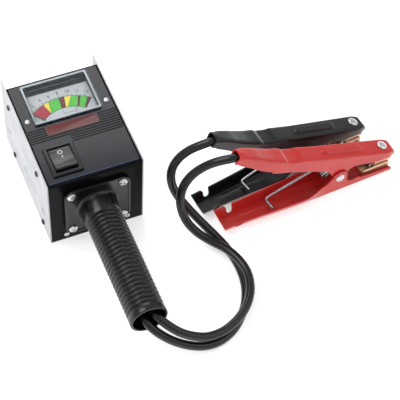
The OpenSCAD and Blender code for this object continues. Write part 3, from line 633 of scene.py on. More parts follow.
def rounded(width: float, length: float, radius: float, z: float,
            at: tuple[float, float] = (0.0, 0.0)) -> list[Point]:
    """Return the outline of a level rounded rectangle.

    Args:
        width: its size along X.
        length: its size along Y.
        radius: its corner radius.
        z: its height.
        at: its middle.

    Returns:
        The outline's points, counter-clockwise.
    """
    points, steps = [], 8
    for quarter, (sx, sy) in enumerate(((1, 1), (-1, 1), (-1, -1), (1, -1))):
        centre = (sx * (width / 2 - radius), sy * (length / 2 - radius))
        for step in range(steps + 1):
            angle = (quarter + step / steps) * math.pi / 2
            points.append((at[0] + (centre[0] + radius * math.cos(angle)),
                           at[1] + (centre[1] + radius * math.sin(angle)), z))
    return points


def along(points: Sequence[Point], per_span: int = 8) -> list[Vector]:
    """Return a smooth path through the points.

    Args:
        points: the points that it passes through.
        per_span: how many steps each span is cut into.

    Returns:
        The path's points.
    """
    knots = [Vector(p) for p in points]
    knots = [2 * knots[0] - knots[1], *knots, 2 * knots[-1] - knots[-2]]
    path = []
    for a, b, c, d in zip(knots, knots[1:], knots[2:], knots[3:]):
        for step in range(per_span):
            t = step / per_span
            path.append(0.5 * (2 * b + (c - a) * t + (2 * a - 5 * b + 4 * c - d) * t * t
                               + (3 * b - a - 3 * c + d) * t ** 3))
    return [*path, knots[-2]]


def length_of(path: Sequence[Vector]) -> float:
    """Return the length of a path, in metres."""
    return sum((b - a).length for a, b in zip(path, path[1:])) * MM


def ramp(value: float, low: float, high: float) -> float:
    """Return 0 below low and 1 above high, with a soft step between."""
    t = min(max((value - low) / (high - low), 0.0), 1.0)
    return t * t * (3 - 2 * t)


def between(table: Sequence[tuple[float, float]], x: float) -> float:
    """Return the height at x on a line through the table's points."""
    for (x0, z0), (x1, z1) in zip(table, table[1:]):
        if x <= x1:
            return z0 + (z1 - z0) * min(max((x - x0) / (x1 - x0), 0.0), 1.0)
    return table[-1][1]


def shift(x: float, y: float, z: float) -> Matrix:
    """Return a move in millimetres."""
    return Matrix.Translation(Vector((x, y, z)) * MM)


def turn(degrees: float, axis: str) -> Matrix:
    """Return a turn about an axis."""
    return Matrix.Rotation(math.radians(degrees), 4, axis)


def fit(piece: Piece, finish: Finish, body: Body, *nodes: str) -> Piece:
    """Dress a finished piece and mount it.

    Args:
        piece: the piece.
        finish: what it wears, unless it has its materials already.
        body: the body that it rides on.
        nodes: the CAD nodes that it stands for.

    Returns:
        The same piece.
    """
    if not piece.data.materials:
        piece.data.materials.append(finish.material())
    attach(piece, body.value)
    if nodes:
        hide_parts(*nodes)
    LOG.info("%s: rides on %s", piece.name, body.value)
    return piece


def smooth_copy(node: str, name: str) -> Piece:
    """Return a copy of a CAD node with its loose triangles merged and its bends shaded smooth."""
    twin = Bench.copy(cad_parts[node], name, Matrix.Identity(4))
    twin.data.materials.clear()
    Bench.edit(twin)
    bpy.ops.mesh.remove_doubles(threshold=0.000002)
    bpy.ops.mesh.dissolve_limited(angle_limit=math.radians(0.5))
    Bench.done()
    return Bench.smooth(twin, 28.0)


# ---- Sub-assemblies ----


@dataclass
class Screw:
    """A domed pan-head screw with a cross recess, pointing along +Z."""

    head_radius: float
    head_height: float

    def turned(self, name: str) -> Piece:
        """Return the head, standing on the origin, with its recess cut."""
        r, h = self.head_radius, self.head_height
        profile = [(0.0, -0.3), (r * 0.96, -0.3), (r, 0.0), (r, h * 0.35),
                   (r * 0.94, h * 0.62), (r * 0.8, h * 0.82),
                   (r * 0.55, h * 0.95), (r * 0.28, h), (0.0, h * 1.02)]
        head = Bench.spun(name, profile, 32)
        for angle in (0.0, 90.0):
            half, arm, floor = r * 0.13, r * 0.62, h * 0.5
            slot = Bench.plate("recess", oblong(-arm, arm, -half, half, floor), (0, 0, h))
            Bench.cut(head, Bench.move(slot, turn(angle + 20.0, "Z")))
        return Bench.smooth(head, 30.0)

    def set_at(self, name: str, places: Iterable[Matrix], node: str,
               finish: Finish = Finishes.BRIGHT) -> Piece:
        """Place one screw at each matrix and mount them as one piece.

        Args:
            name: the piece's name.
            places: where each head sits, in metres.
            node: the CAD node that they stand for.
            finish: what they are made of.

        Returns:
            The joined screws.
        """
        first = self.turned(name + "_first")
        heads = [Bench.copy(first, f"{name}_{i}", place) for i, place in enumerate(places)]
        bpy.data.objects.remove(first)
        return fit(Bench.join(name, heads), finish, Body.ROOT, node)


@dataclass
class Housing:
    """The bent-steel housing: painted chassis, plated cover, screws, face film, stripes and label."""

    width: float = 84.0
    length: float = 112.0
    face: float = 79.2
    side_screws: tuple[tuple[float, float], ...] = ((28, 64.2), (103, 64.2), (19, 7), (96, 7))
    stripe_top: float = 60.5
    stripe_pitch: float = 2.55
    stripe_width: float = 1.3
    stripe_count: int = 9
    sunk: float = 0.05
    label: tuple[float, float] = (45.0, 9.6)
    label_x: float = -0.5
    window: tuple[float, float] = (-0.5, 85.5)
    switch_edge: float = -5.7
    switch_top: float = 45.5

    def build(self) -> None:
        """Build the housing's pieces."""
        fit(smooth_copy("front_chassis", "chassis_shell"), Finishes.CHASSIS, Body.ROOT, "front_chassis")
        fit(smooth_copy("rear_cover", "cover_shell"), Finishes.PLATED, Body.ROOT, "rear_cover")
        half = self.width / 2
        Screw(head_radius=2.6, head_height=1.5).set_at("cover_screw_heads", [
            shift(side * half, y, z) @ turn(90.0 * side, "Y") @ turn(31.0 * i, "Z")
            for i, (y, z) in enumerate(self.side_screws) for side in (-1, 1)], "cover_screws", Finishes.DARK)
        Screw(head_radius=2.4, head_height=1.4).set_at("panel_screw_heads", [
            shift(x, 0, 7.5) @ turn(90.0, "X") @ turn(40.0 + x, "Z") for x in (-27.5, 27.5)], "panel_screws")
        self.film()
        self.stripes()
        self.blank_label()

    def film(self) -> None:
        """Lay the glossy film over the face, open round the meter's window, with a thin blue strip of
        painted highlight along its near edge.
        """
        near, far, edge = 2.4, 109.8, 39.4
        middle = (near + far) / 2
        sheet = rounded(2 * edge, far - near, 1.5, self.face + 0.01, (0.0, middle))
        film = Bench.plate("face_film", sheet, (0, 0, 0.07))
        window = rounded(56.4, 40.9, 1.6, self.face - 1.0, self.window)
        fit(Bench.cut(film, Bench.plate("window", window, (0, 0, 3.0))), Finishes.FILM, Body.ROOT)
        # Thin blue strip along the film's near edge: a painted highlight of its bend, not a part of the
        # film.
        strip = rounded(2 * edge - 2, 0.5, 0.2, self.face + 0.06, (0.0, near + 0.5))
        fit(Bench.plate("film_edge_painted_highlight", strip, (0, 0, 0.06)), Finishes.FILM_EDGE, Body.ROOT)

    def stripes(self) -> None:
        """Raise the dark stripes on the face, clear of the label and the switch."""
        left, right = -self.width / 2 + 2.9, self.width / 2 - 2.9
        label_left = self.label_x - self.label[0] / 2 - 0.5
        label_right = label_left + self.label[0] + 1.0
        foot, bars = self.face - self.sunk, []
        for i in range(self.stripe_count):
            top = self.stripe_top - i * self.stripe_pitch
            low = top - self.stripe_width
            start = self.switch_edge if low < self.switch_top else left
            spans = [(start, right)]
            if low > self.stripe_top - self.label[1] - 0.7:
                spans = [(left, label_left), (label_right, right)]
            for x0, x1 in spans:
                bar = Bench.plate(f"stripe_{len(bars)}", oblong(x0, x1, low, top, foot), (0, 0, 0.38))
                bars.append(Bench.bevel(bar, 0.14, 2))
        fit(Bench.smooth(Bench.join("face_stripes", bars)), Finishes.STRIPE, Body.ROOT, "face_overlay")

    def blank_label(self) -> None:
        """Lay the blank red label on the face, with a raised border line."""
        width, height = self.label
        middle = self.stripe_top - height / 2
        points = rounded(width, height, 0.8, self.face - self.sunk, (self.label_x, middle))
        label = Bench.plate("face_label", points, (0, 0, 0.33))
        Bench.edit(label, False)
        Bench.pick(label, lambda face: face.normal.z > 0.9)
        bpy.ops.mesh.inset(thickness=0.7 * MM, depth=0.0)
        bpy.ops.mesh.inset(thickness=0.25 * MM, depth=-0.08 * MM)
        Bench.done()
        fit(Bench.smooth(Bench.bevel(label, 0.1, 1)), Finishes.LABEL, Body.ROOT, "red_label")


@dataclass
class Meter:
    """The moving-coil meter: clear cover, silvered rim, dial card, print, a dark band of painted shade, and
    pointer.
    """

    x: float = -0.5
    y: float = 85.5
    width: float = 61.5
    length: float = 46.0
    proud: float = 3.5
    wall: float = 1.2
    face: float = 79.2
    card_z: float = 74.7
    # Middle of the dark band of painted shade and reflection across the top of the card.
    header_y: float = 102.4
    band: tuple[float, float] = (29.5, 41.2)
    ink_lift: float = 0.06
    ink_thick: float = 0.04
    pivot_y: float = 49.0
    rest: float = 41.0
    volts: int = 16
    sectors: tuple[tuple[str, tuple[tuple[float, float], tuple[float, float]]], ...] = (
        ("red", ((-41.0, -21.8), (-41.0, -22.9))),
        ("yellow", ((-21.8, -13.7), (-22.9, -21.9))),
        ("green", ((-13.7, -0.8), (-21.9, -2.8))),
        ("dark_red", ((-0.8, 6.0), (-2.8, 4.0))),
        ("yellow", ((6.0, 14.8), (4.0, 7.4))),
        ("green", ((14.8, 22.9), (7.4, 23.6))),
        ("dark_red", ((22.9, 25.6), (23.6, 26.0))),
        ("green", ((25.6, 34.2), (26.0, 35.8))),
        ("dark_red", ((34.2, 38.9), (35.8, 38.4))),
    )

    def build(self) -> None:
        """Build the meter's pieces."""
        self.cover()
        self.rim()
        self.well()
        self.card()
        self.print_scale()
        self.pointer()
        Screw(head_radius=2.5, head_height=1.5).set_at("meter_screw_heads", [
            shift(x, 70.5, self.face) @ turn(25.0 + x, "Z") for x in (-35.0, 35.0)], "meter_screws")

    def outline(self, inset: float, radius: float, z: float) -> list[Point]:
        """Return a rounded outline, smaller than the cover by inset each way, at height z."""
        return rounded(self.width - inset, self.length - inset, radius, z, (self.x, self.y))

    def cover(self) -> None:
        """Build the clear cover: a rounded box, open below, with a thin wall."""
        outer = Bench.plate("meter_cover", self.outline(0.0, 2.0, self.face), (0, 0, self.proud))
        Bench.bevel(outer, 0.9, 3, 50.0)
        inner = self.outline(2 * self.wall, 1.4, self.face - 1.0)
        Bench.cut(outer, Bench.plate("hollow", inner, (0, 0, 1.0 + self.proud - self.wall)))
        fit(Bench.smooth(outer), Finishes.LENS, Body.ROOT, "meter_lens")

    def rim(self) -> None:
        """Build the silvered frame that shows under the cover's edge."""
        top = self.face + self.proud - self.wall - 0.06
        fit(self.frame_ring("meter_rim", top - 0.55, 0.55, 6.2, 0.2), Finishes.RIM, Body.ROOT)

    def well(self) -> None:
        """Build the dark glossy well between the rim and the dial."""
        top = self.face + self.proud - self.wall - 0.7
        foot = self.face + 0.1
        fit(self.frame_ring("meter_well", foot, top - foot, 7.0, 0.1), Finishes.CASE, Body.ROOT)

    def frame_ring(self, name: str, low: float, height: float, inset: float, soft: float) -> Piece:
        """Return a rectangular ring inside the cover.

        Args:
            name: the ring's name.
            low: the height of its underside.
            height: how tall it is.
            inset: how much smaller than the cover its opening is.
            soft: how far its edges are rounded.

        Returns:
            The ring.
        """
        play = 0.1
        ring = Bench.plate(name, self.outline(2 * self.wall + play, 1.3, low), (0, 0, height))
        hole = self.outline(inset, 1.6, low - 1.0)
        Bench.cut(ring, Bench.plate("window", hole, (0, 0, height + 2.0)))
        return Bench.smooth(Bench.bevel(ring, soft, 2, 50.0))

    def card(self) -> None:
        """Build the dial card with its two pillars."""
        width, near, far = 56.5, 61.0, 105.9
        thick = 0.8
        points = rounded(width, far - near, 1.0, self.card_z - thick, (self.x, (near + far) / 2))
        card = Bench.bevel(Bench.plate("dial_card", points, (0, 0, thick)), 0.12, 1, 50.0)
        pillars = []
        for side in (-1, 1):
            post = Bench.spun(f"pillar_{side}", [(0, 0), (2.0, 0), (2.0, 21.6), (1.6, 22.2), (0, 22.2)], 20)
            pillars.append(Bench.move(post, shift(self.x + side * 24.0, self.y + 8, 51.8)))
        fit(Bench.smooth(Bench.join("dial_card", [card, *pillars])), Finishes.CARD, Body.ROOT, "meter_dial")

    def on_dial(self, radius: float, degrees: float, lift: float) -> Point:
        """Return the point at a radius and an angle from straight up, seen from the pivot."""
        a = math.radians(degrees)
        return (self.x + radius * math.sin(a), self.pivot_y + radius * math.cos(a), self.card_z + lift)

    def sector(self, name: str, outer: tuple[float, float], inner: tuple[float, float],
               radii: tuple[float, float], lift: float) -> Piece:
        """Return one printed sector.

        Args:
            name: its name.
            outer: start and end angles on the outer arc.
            inner: start and end angles on the inner arc.
            radii: the inner and the outer radius.
            lift: height of its underside above the card.

        Returns:
            The sector as a thin plate.
        """
        steps = 14
        points = [self.on_dial(radii[1], outer[0] + (outer[1] - outer[0]) * i / steps, lift)
                  for i in range(steps + 1)]
        points += [self.on_dial(radii[0], inner[1] + (inner[0] - inner[1]) * i / steps, lift)
                   for i in range(steps + 1)]
        return Bench.plate(name, points, (0, 0, self.ink_thick))

    def line(self, name: str, start: Point, end: Point, width: float) -> Piece:
        """Return a thin printed line between two points of the dial."""
        a, b = Vector(start), Vector(end)
        across = (b - a).cross(Vector((0, 0, 1))).normalized() * width / 2
        corners = [tuple(a - across), tuple(b - across), tuple(b + across), tuple(a + across)]
        return Bench.plate(name, corners, (0, 0, self.ink_thick))

    def spoke(self, name: str, reach: tuple[float, float], degrees: tuple[float, float], lift: float,
              width: float) -> Piece:
        """Return a thin printed line given in distances and angles from the pivot.

        Args:
            name: its name.
            reach: how far from the pivot it starts and ends.
            degrees: the angles of its start and end, from straight up.
            lift: height of its underside above the card.
            width: how broad it is.

        Returns:
            The line as a thin plate.
        """
        start = self.on_dial(reach[0], degrees[0], lift)
        return self.line(name, start, self.on_dial(reach[1], degrees[1], lift), width)

    def print_scale(self) -> None:
        """Print the coloured arc, its outlines, the ticks and the figures, and lay a dark band of painted
        shade and reflection across the top of the card.
        """
        inks = {"red": Finishes.SCALE_RED, "yellow": Finishes.SCALE_YELLOW, "green": Finishes.SCALE_GREEN,
                "dark_red": Finishes.SCALE_BROWN}
        coloured, dark = [], []
        band = self.band
        for i, (colour, (outer, inner)) in enumerate(self.sectors):
            piece = self.sector(f"sector_{i}", outer, inner, band, 0.04)
            piece.data.materials.append(inks[colour].material())
            coloured.append(piece)
            dark.append(self.spoke(f"edge_{i}", band, (inner[1], outer[1]), 0.07, 0.3))
        ends = (-self.rest, 38.9)
        dark.append(self.spoke("edge_start", band, (-self.rest, -self.rest), 0.07, 0.3))
        lift = self.ink_lift
        dark.append(self.sector("arc_outer", ends, ends, (41.1, 41.45), lift))
        dark.append(self.sector("arc_inner", ends, ends, (29.3, 29.6), lift))
        longest, middling, short = 43.9, 42.9, 42.2
        for i in range(self.volts * 2 + 1):
            angle = -self.rest + i * self.rest / self.volts
            reach = longest if i % 4 == 0 else middling if i % 2 == 0 else short
            if 29.0 + abs(reach * math.sin(math.radians(angle))) < 59.0:
                dark.append(self.spoke(f"tick_{i}", (41.3, reach), (angle, angle), lift, 0.5))
        figure_radius, figure_height, figure_room = 46.6, 4.6, 26.5
        for i in range(2, self.volts + 1, 2):
            angle = -self.rest + i * 2 * self.rest / self.volts
            x, y, z = self.on_dial(figure_radius, angle, lift)
            if abs(x - self.x) < figure_room:
                place = shift(x, y, z) @ turn(-angle, "Z")
                dark.append(Bench.letters(f"figure_{i}", str(i), figure_height, place, 0.05))
        zone = (-3.0, 22.0)
        for angle in zone:
            dark.append(self.spoke(f"zone_{angle:.0f}", (23.5, 29.4), (angle, angle), lift, 0.25))
        dark.append(self.spoke("base_line", (23.6, 25.4), zone, lift, 0.2))
        # Dark band across the top of the card: painted shade and reflection of the cover's upper inner wall,
        # not print.
        half, y, z = 27.6, self.header_y, self.card_z + lift
        dark.append(self.line("header", (self.x - half, y, z), (self.x + half, y, z), 5.2))
        for piece in dark:
            piece.data.materials.append(Finishes.SCALE_INK.material())
        fit(Bench.join("dial_print_and_painted_shade", coloured + dark), Finishes.CARD, Body.ROOT)

    def pointer(self) -> None:
        """Build the tapered pointer with its hub, arm and tail weight."""
        low, top = 66.4, self.card_z + 0.92
        turned = shift(self.x, self.pivot_y, 0) @ turn(self.rest, "Z")
        outline = [(-0.75, 8.0), (0.75, 8.0), (0.28, 40.6), (0.0, 41.6), (-0.28, 40.6)]
        blade = Bench.plate("pointer", [(x, y, top) for x, y in outline], (0, 0, 0.35))
        side = [(1.0, low), (8.0, low), (8.0, top + 0.3), (9.0, top + 0.3), (9.0, low - 1.0),
                (1.0, low - 1.0)]
        arm = Bench.plate("arm", [(-0.6, y, z) for y, z in side], (1.2, 0, 0))
        hub = Bench.spun("hub", [(0, low - 1.4), (1.7, low - 1.4), (1.7, low), (1.1, low + 0.5),
                                 (0, low + 0.5)], 24)
        tail = Bench.plate("tail", [(-0.5, -5.2, low - 1), (0.5, -5.2, low - 1), (0.9, -1.0, low - 1),
                                    (-0.9, -1.0, low - 1)], (0, 0, 1.0))
        softened = [Bench.bevel(blade, 0.08, 1), Bench.bevel(arm, 0.15, 1)]
        whole = Bench.join("meter_pointer", [*softened, hub, tail])
        fit(Bench.smooth(Bench.move(whole, turned)), Finishes.NEEDLE, Body.MOVEMENT, "meter_needle")


@dataclass
class Switch:
    """The rocker switch: a bezel with a body behind it, and the rocker with its two marks."""

    x: float = -20.0
    y: float = 23.5
    face: float = 79.2
    width: float = 26.5
    length: float = 31.0
    rim: float = 2.0
    rocker_width: float = 18.9
    rocker_length: float = 22.6
    axis_z: float = 78.2
    tilt: float = 9.0

    def build(self) -> None:
        """Build the bezel and the rocker."""
        self.bezel()
        self.rocker()

    def bezel(self) -> None:
        """Build the bezel with its sloping inner edge and the body behind it."""
        at = shift(self.x, self.y, 0)
        outline = rounded(self.width, self.length, 1.3, self.face)
        flange = Bench.plate("switch_bezel", outline, (0, 0, self.rim))
        Bench.bevel(flange, 0.6, 3, 50.0)
        body = Bench.plate("switch_body", rounded(21.6, 27.6, 0.8, self.face - 22.0), (0, 0, 22.5))
        whole = Bench.join("switch_bezel", [flange, Bench.bevel(body, 0.4, 2, 50.0)])
        for z, grow in ((-11.0, 0.0), (1.1, 1.2)):
            hole = rounded(self.rocker_width + 0.8 + grow, self.rocker_length + 2.2 + grow, 0.5,
                           self.face + z)
            Bench.cut(whole, Bench.plate("well", hole, (0, 0, 20.0)))
        fit(Bench.smooth(Bench.move(whole, at)), Finishes.SWITCH, Body.ROOT, "switch_frame")

    def dish(self, y: float) -> float:
        """Return the height of the rocker's hollow top above its axis, at a distance along it."""
        share = abs(y) / (self.rocker_length / 2)
        return 2.9 + 1.5 * share ** 1.4 - 0.5 * ramp(share, 0.86, 1.02)

    def rocker(self) -> None:
        """Build the rocker with its shallow hollow top, and raise its circle and bar."""
        half, steps = self.rocker_length / 2, 40
        top = [(y, self.dish(y)) for y in (half - 2 * half * i / steps for i in range(steps + 1))]
        side = [*top, (-half - 0.1, 1.0), (-half, -4.0), (-half * 0.4, -6.4), (half * 0.4, -6.4),
                (half, -4.0), (half + 0.1, 1.0)]
        width = self.rocker_width
        paddle = Bench.plate("rocker_paddle", [(-width / 2, y, z) for y, z in side], (width, 0, 0))
        Bench.bevel(paddle, 0.6, 3, 35.0)
        paddle.data.materials.append(Finishes.ROCKER.material())
        ring = Bench.spun("mark_ring", [(1.45, 0.0), (2.05, 0.0), (2.05, 0.22), (1.45, 0.22)], 40, True)
        Bench.move(ring, shift(-0.3, 6.6, self.dish(6.6) - 0.02) @ turn(9.0, "X"))
        wide, tall = 0.36, 1.3
        bar = Bench.plate("mark_bar", oblong(-wide, wide, -tall, tall, 0.0), (0, 0, 0.2))
        Bench.move(bar, shift(0.4, 1.7, self.dish(2.6) - 0.02) @ turn(3.0, "X"))
        for mark in (ring, bar):
            mark.data.materials.append(Finishes.MARK.material())
        at = shift(self.x, self.y, self.axis_z) @ turn(-self.tilt, "X")
        whole = Bench.move(Bench.join("rocker_paddle", [paddle, ring, bar]), at)
        fit(Bench.smooth(whole, 40.0), Finishes.ROCKER, Body.ROCKER, "switch_rocker")


@dataclass
class Handle:
    """The hollow moulded handle: a square flange, a flared neck, a ribbed grip and a plain mouth."""

    axis_z: float = 40.0
    length: float = 122.0
    flange: float = 58.0
    flange_thick: float = 3.0
    corner: float = 8.0
    pitch: float = 45.0
    ribs: int = 22
    outer: float = 16.0
    groove: float = 14.75
    bore: float = 13.6
    rib_start: float = 20.0
    ring_length: float = 8.0

    def build(self) -> None:
        """Build the handle and its four screws."""
        at = shift(0, 0, self.axis_z) @ turn(90.0, "X")
        grip = Bench.spun("handle_moulding", self.profile(), 96, True)
        whole = Bench.move(Bench.join("handle_moulding", [grip, self.plate()]), at)
        fit(Bench.smooth(whole, 38.0), Finishes.GRIP, Body.ROOT, "handle_grip")
        half = self.pitch / 2
        Screw(head_radius=4.0, head_height=2.2).set_at("handle_screw_heads", [
            at @ shift(sx * half, sz * half, self.flange_thick) @ turn(17.0 * sx + 31.0 * sz, "Z")
            for sx in (-1, 1) for sz in (-1, 1)], "handle_screws")

    def profile(self) -> list[tuple[float, float]]:
        """Return the half-section as a closed loop of radius and distance from the housing."""
        pitch = (self.length - self.rib_start - self.ring_length) / self.ribs
        points = [(self.bore, 0.2), (18.8, 0.2), (18.8, self.flange_thick), (18.2, 3.3), (17.5, 4.0),
                  (17.1, 5.2), (16.8, 7.5), (16.5, 11.0), (16.2, 15.0), (15.95, 18.6), (15.6, 19.4),
                  (15.0, 19.9)]
        for i in range(self.ribs):
            start = self.rib_start + i * pitch
            for share in (0.04, 0.16, 0.27, 0.39, 0.5, 0.61, 0.73, 0.84, 0.96):
                lift = max(0.0, math.sin(math.pi * (share - 0.04) / 0.92)) ** 0.62
                points.append((self.groove + (self.outer - self.groove) * lift, start + share * pitch))
        ring = self.length - self.ring_length
        points += [(self.groove, ring + 0.15), (15.7, ring + 0.7), (self.outer, ring + 1.4),
                   (self.outer, self.length - 1.1), (15.85, self.length - 0.4), (15.4, self.length),
                   (14.1, self.length), (13.75, self.length - 0.3), (self.bore, self.length - 1.0)]
        return points

    def plate(self) -> Piece:
        """Return the square flange with its raised rim and central hole."""
        outline = rounded(self.flange, self.flange, self.corner, 0.02)
        plate = Bench.plate("flange", outline, (0, 0, self.flange_thick))
        Bench.edit(plate, False)
        Bench.pick(plate, lambda face: face.normal.z > 0.9)
        bpy.ops.mesh.inset(thickness=0.9 * MM, depth=0.0)
        bpy.ops.mesh.inset(thickness=0.8 * MM, depth=0.0)
        Bench.pick(plate, lambda face: face.normal.z > 0.9 and len(face.verts) == 4)
        bpy.ops.mesh.extrude_region_move(TRANSFORM_OT_translate={"value": (0, 0, 0.8 * MM)})
        Bench.done()
        Bench.bevel(plate, 0.3, 2, 40.0)
        hole = Bench.spun("hole", [(0, -2.0), (self.bore + 0.6, -2.0), (self.bore + 0.6, 8.0), (0, 8.0)], 64)
        return Bench.cut(plate, hole)


@dataclass
class Lead:
    """One heavy rubber lead, from inside the handle's mouth to its clamp."""

    side: Side
    exit: Point
    route: tuple[Point, ...]
    diameter: float = 7.6

    def build(self, clamp_pieces: Sequence[Piece]) -> None:
        """Args:
            clamp_pieces: the pieces of the clamp on its far end; not used.
        """
        path = along(self.route)
        lead = Bench.wire(f"{self.side.value}_lead", path, self.diameter / 2, 6)
        fit(lead, Finishes.RUBBER, Body.ROOT, f"lead_{self.side.value}")
        round(length_of(path), 3)


@dataclass
class HiddenLead:
    """The length of a lead that runs inside the handle and the housing."""

    side: Side
    route: tuple[Point, ...]
    radius: float = 3.8

    def build(self) -> None:
        """Build the hidden length."""
        rod = Bench.rod(f"{self.side.value}_lead_inside", along(self.route, 5), self.radius, 4)
        fit(rod, Finishes.RUBBER, Body.ROOT, f"inner_lead_{self.side.value}")


@dataclass
class Clamp:
    """A spring clamp: two pressed halves, a rivet, a torsion spring and copper jaws."""

    side: Side
    at: Point
    degrees: float
    half: float = 8.4
    sheet: float = 1.4
    spring_radius: float = 1.15
    pivot: tuple[float, float] = (110.0, 19.5)
    web: tuple[tuple[float, float], ...] = (
        (8, 97.5), (30, 84), (44, 76.8), (56, 70.5), (90, 55), (166, 24.5), (168, 21.8))
    skirt: list[tuple[float, float]] = field(default_factory=list)
    rail: list[tuple[float, float]] = field(default_factory=list)

    def __post_init__(self) -> None:
        """Work out the lower edge of the upper half and the upper edge of the lower half."""
        px, pz = self.pivot

        def bow(cx: float, cz: float, r: float, start: float, end: float,
                steps: int) -> list[tuple[float, float]]:
            """Return points on an arc, angles in degrees."""
            spread = [math.radians(start + (end - start) * i / steps) for i in range(steps + 1)]
            return [(cx + r * math.cos(a), cz + r * math.sin(a)) for a in spread]

        self.skirt = [(44, 62), (66, 50.5), (96, 34.5), (101.5, 26), *bow(px, pz, 6.6, -170, -30, 12),
                      *bow(125, 18.6, 7.6, 172, 65, 8), (132, 24.6), (147, 19.5), (166, 18.2), (168, 18.2)]
        self.rail = [(0.0, 10.2), (6.4, 10.7), (8.0, 9.0), (8.1, 5.4), (8.9, 3.4), (11.0, 2.5), (13.1, 3.4),
                     (13.9, 5.4), (14.0, 9.6), (14.8, 10.7), (70, 11.6), (88, 13.4), (97, 15.5),
                     *bow(px, pz, 7.8, 165, -5, 14), *bow(124.5, 16, 7.5, -163, -50, 8), (132, 8),
                     (141, 6.5), (164.5, 4.6), (165, 1.6)]

    @property
    def jaw(self) -> Body:
        """Return the body that the lower half rides."""
        return Body.RED_JAW if self.side is Side.RED else Body.BLACK_JAW

    @property
    def seat(self) -> Matrix:
        """Return the clamp's place on the table."""
        return shift(*self.at) @ turn(self.degrees, "Z")

    def mount(self, piece: Piece, finish: Finish, body: Body, *nodes: str) -> Piece:
        """Place a finished piece of this clamp and mount it on its body."""
        piece.name = f"{self.side.value}_{piece.name}"
        return fit(Bench.move(piece, self.seat), finish, body, *[f"{self.side.value}_{n}" for n in nodes])

    def build(self) -> list[Piece]:
        """Build the clamp's pieces and return them."""
        paint = Finishes.CLAMP[self.side]
        return [
            self.mount(self.upper_half(), paint, Body.ROOT, "clamp_upper"),
            self.mount(self.lower_half(), paint, self.jaw, "clamp_lower"),
            self.mount(self.pivot_rivet(), Finishes.RIVET, Body.ROOT, "clamp_pivot"),
            self.mount(self.spring_back(), Finishes.SPRING, self.jaw, "clamp_spring"),
            self.mount(self.spring_front(), Finishes.SPRING, Body.ROOT),
            self.mount(self.jaw_upper(), Finishes.COPPER, Body.ROOT, "jaw_upper"),
            self.mount(self.jaw_lower(), Finishes.COPPER, self.jaw, "jaw_lower"),
            self.mount(self.nose_rivet(), Finishes.RIVET, Body.ROOT, "nose_rivet"),
            self.mount(self.jaw_rivet(), Finishes.RIVET, self.jaw, "jaw_rivet"),
            self.mount(self.braid(), Finishes.BRAID, Body.ROOT, "jumper"),
            self.mount(self.crimp(), paint, Body.ROOT),
        ]

    def pressed_rib(self, x: float, y: float) -> float:
        """Return how far the long stiffening rib raises the web at a point."""
        reach = math.hypot(max(abs(x - 114.0) - 17.6, 0.0), y)
        return 2.4 * (1.0 - ramp(reach, 2.5, 3.5))

    @staticmethod
    def folded(width: float, bend: float) -> list[tuple[float, float]]:
        """Return the quarter bend between a flange and the web, as points across and in from the web."""
        angles = (math.pi / 2 * i / 4 for i in range(5))
        return [(-width + bend * (1 - math.cos(a)), bend * (1 - math.sin(a))) for a in angles]

    def upper_row(self, x: float) -> list[Vector]:
        """Return the section of the upper half at a distance from its tail."""
        barrel, roll = 5.25, 0.35 * (1.0 - ramp(x, 9.0, 15.0))
        raised = 2.1 * (1.0 - ramp(x, 22.0, 46.0))
        tail = 6.4
        width = self.half if x > 50 else tail + (self.half - tail) * min(max((x - 12.0) / 38.0, 0.0), 1.0)
        width -= 2.2 * ramp(x, 160.5, 168.5)
        deep = between(self.web, x) - between(self.skirt, x) if x > 44 else 9.8 + 3.2 * ramp(x, 10, 44)
        bend = 2.0
        profile = [(-width, deep - (deep - bend) * i / 7) for i in range(7)]
        profile += self.folded(width, bend)
        flat = width - bend
        shares = (-0.62, -0.52, -0.38, -0.2, 0.0, 0.2, 0.38, 0.52, 0.62)
        right = [(-y, h) for y, h in reversed(profile)]
        profile += [(flat * share, 0.0) for share in shares] + right
        count = len(profile) - 1
        lean = math.radians(31.0 * (1.0 - ramp(x, 30, 60)))
        up = Vector((math.sin(lean), 0, math.cos(lean)))
        base = Vector((x, 0, between(self.web, x)))
        row = []
        for i, (y, h) in enumerate(profile):
            angle = math.radians(168.0) * (2 * i / count - 1)
            y += (barrel * math.sin(angle) - y) * roll
            h += (barrel - barrel * math.cos(angle) - h) * roll
            h -= self.pressed_rib(x, y) * (1.0 if h < 0.5 else 0.0)
            h += 1.3 * (ramp(x, 52.0, 55.0) - ramp(x, 64.0, 70.0)) * (1.0 if h < 2.2 else 0.0)
            row.append(base + Vector((0, y, 0)) - up * (h - raised))
        return row

    def upper_half(self) -> Piece:
        """Return the upper half: a channel whose tail closes a little round the lead."""
        stations = {8.0 + i for i in range(0, 20, 2)} | {28.0 + 2 * i for i in range(33)}
        stations |= {94.0 + 1.0 * i for i in range(46)} | {140.0 + 2 * i for i in range(13)}
        stations |= {44.05, 52.5, 53.5, 55.0, 67.0, 68.5, 70.0, 101.5, 103.4, 165.0, 166.0, 167.0, 168.0}
        rows = [self.upper_row(x) for x in sorted(stations)]
        rows.append([Vector((168.3, p.y * 0.96, p.z if p.z < 21.6 else 21.0)) for p in rows[-1]])
        half = Bench.loft("clamp_upper_half", rows)
        return self.pressed(half, Vector((0, 0, -1)))

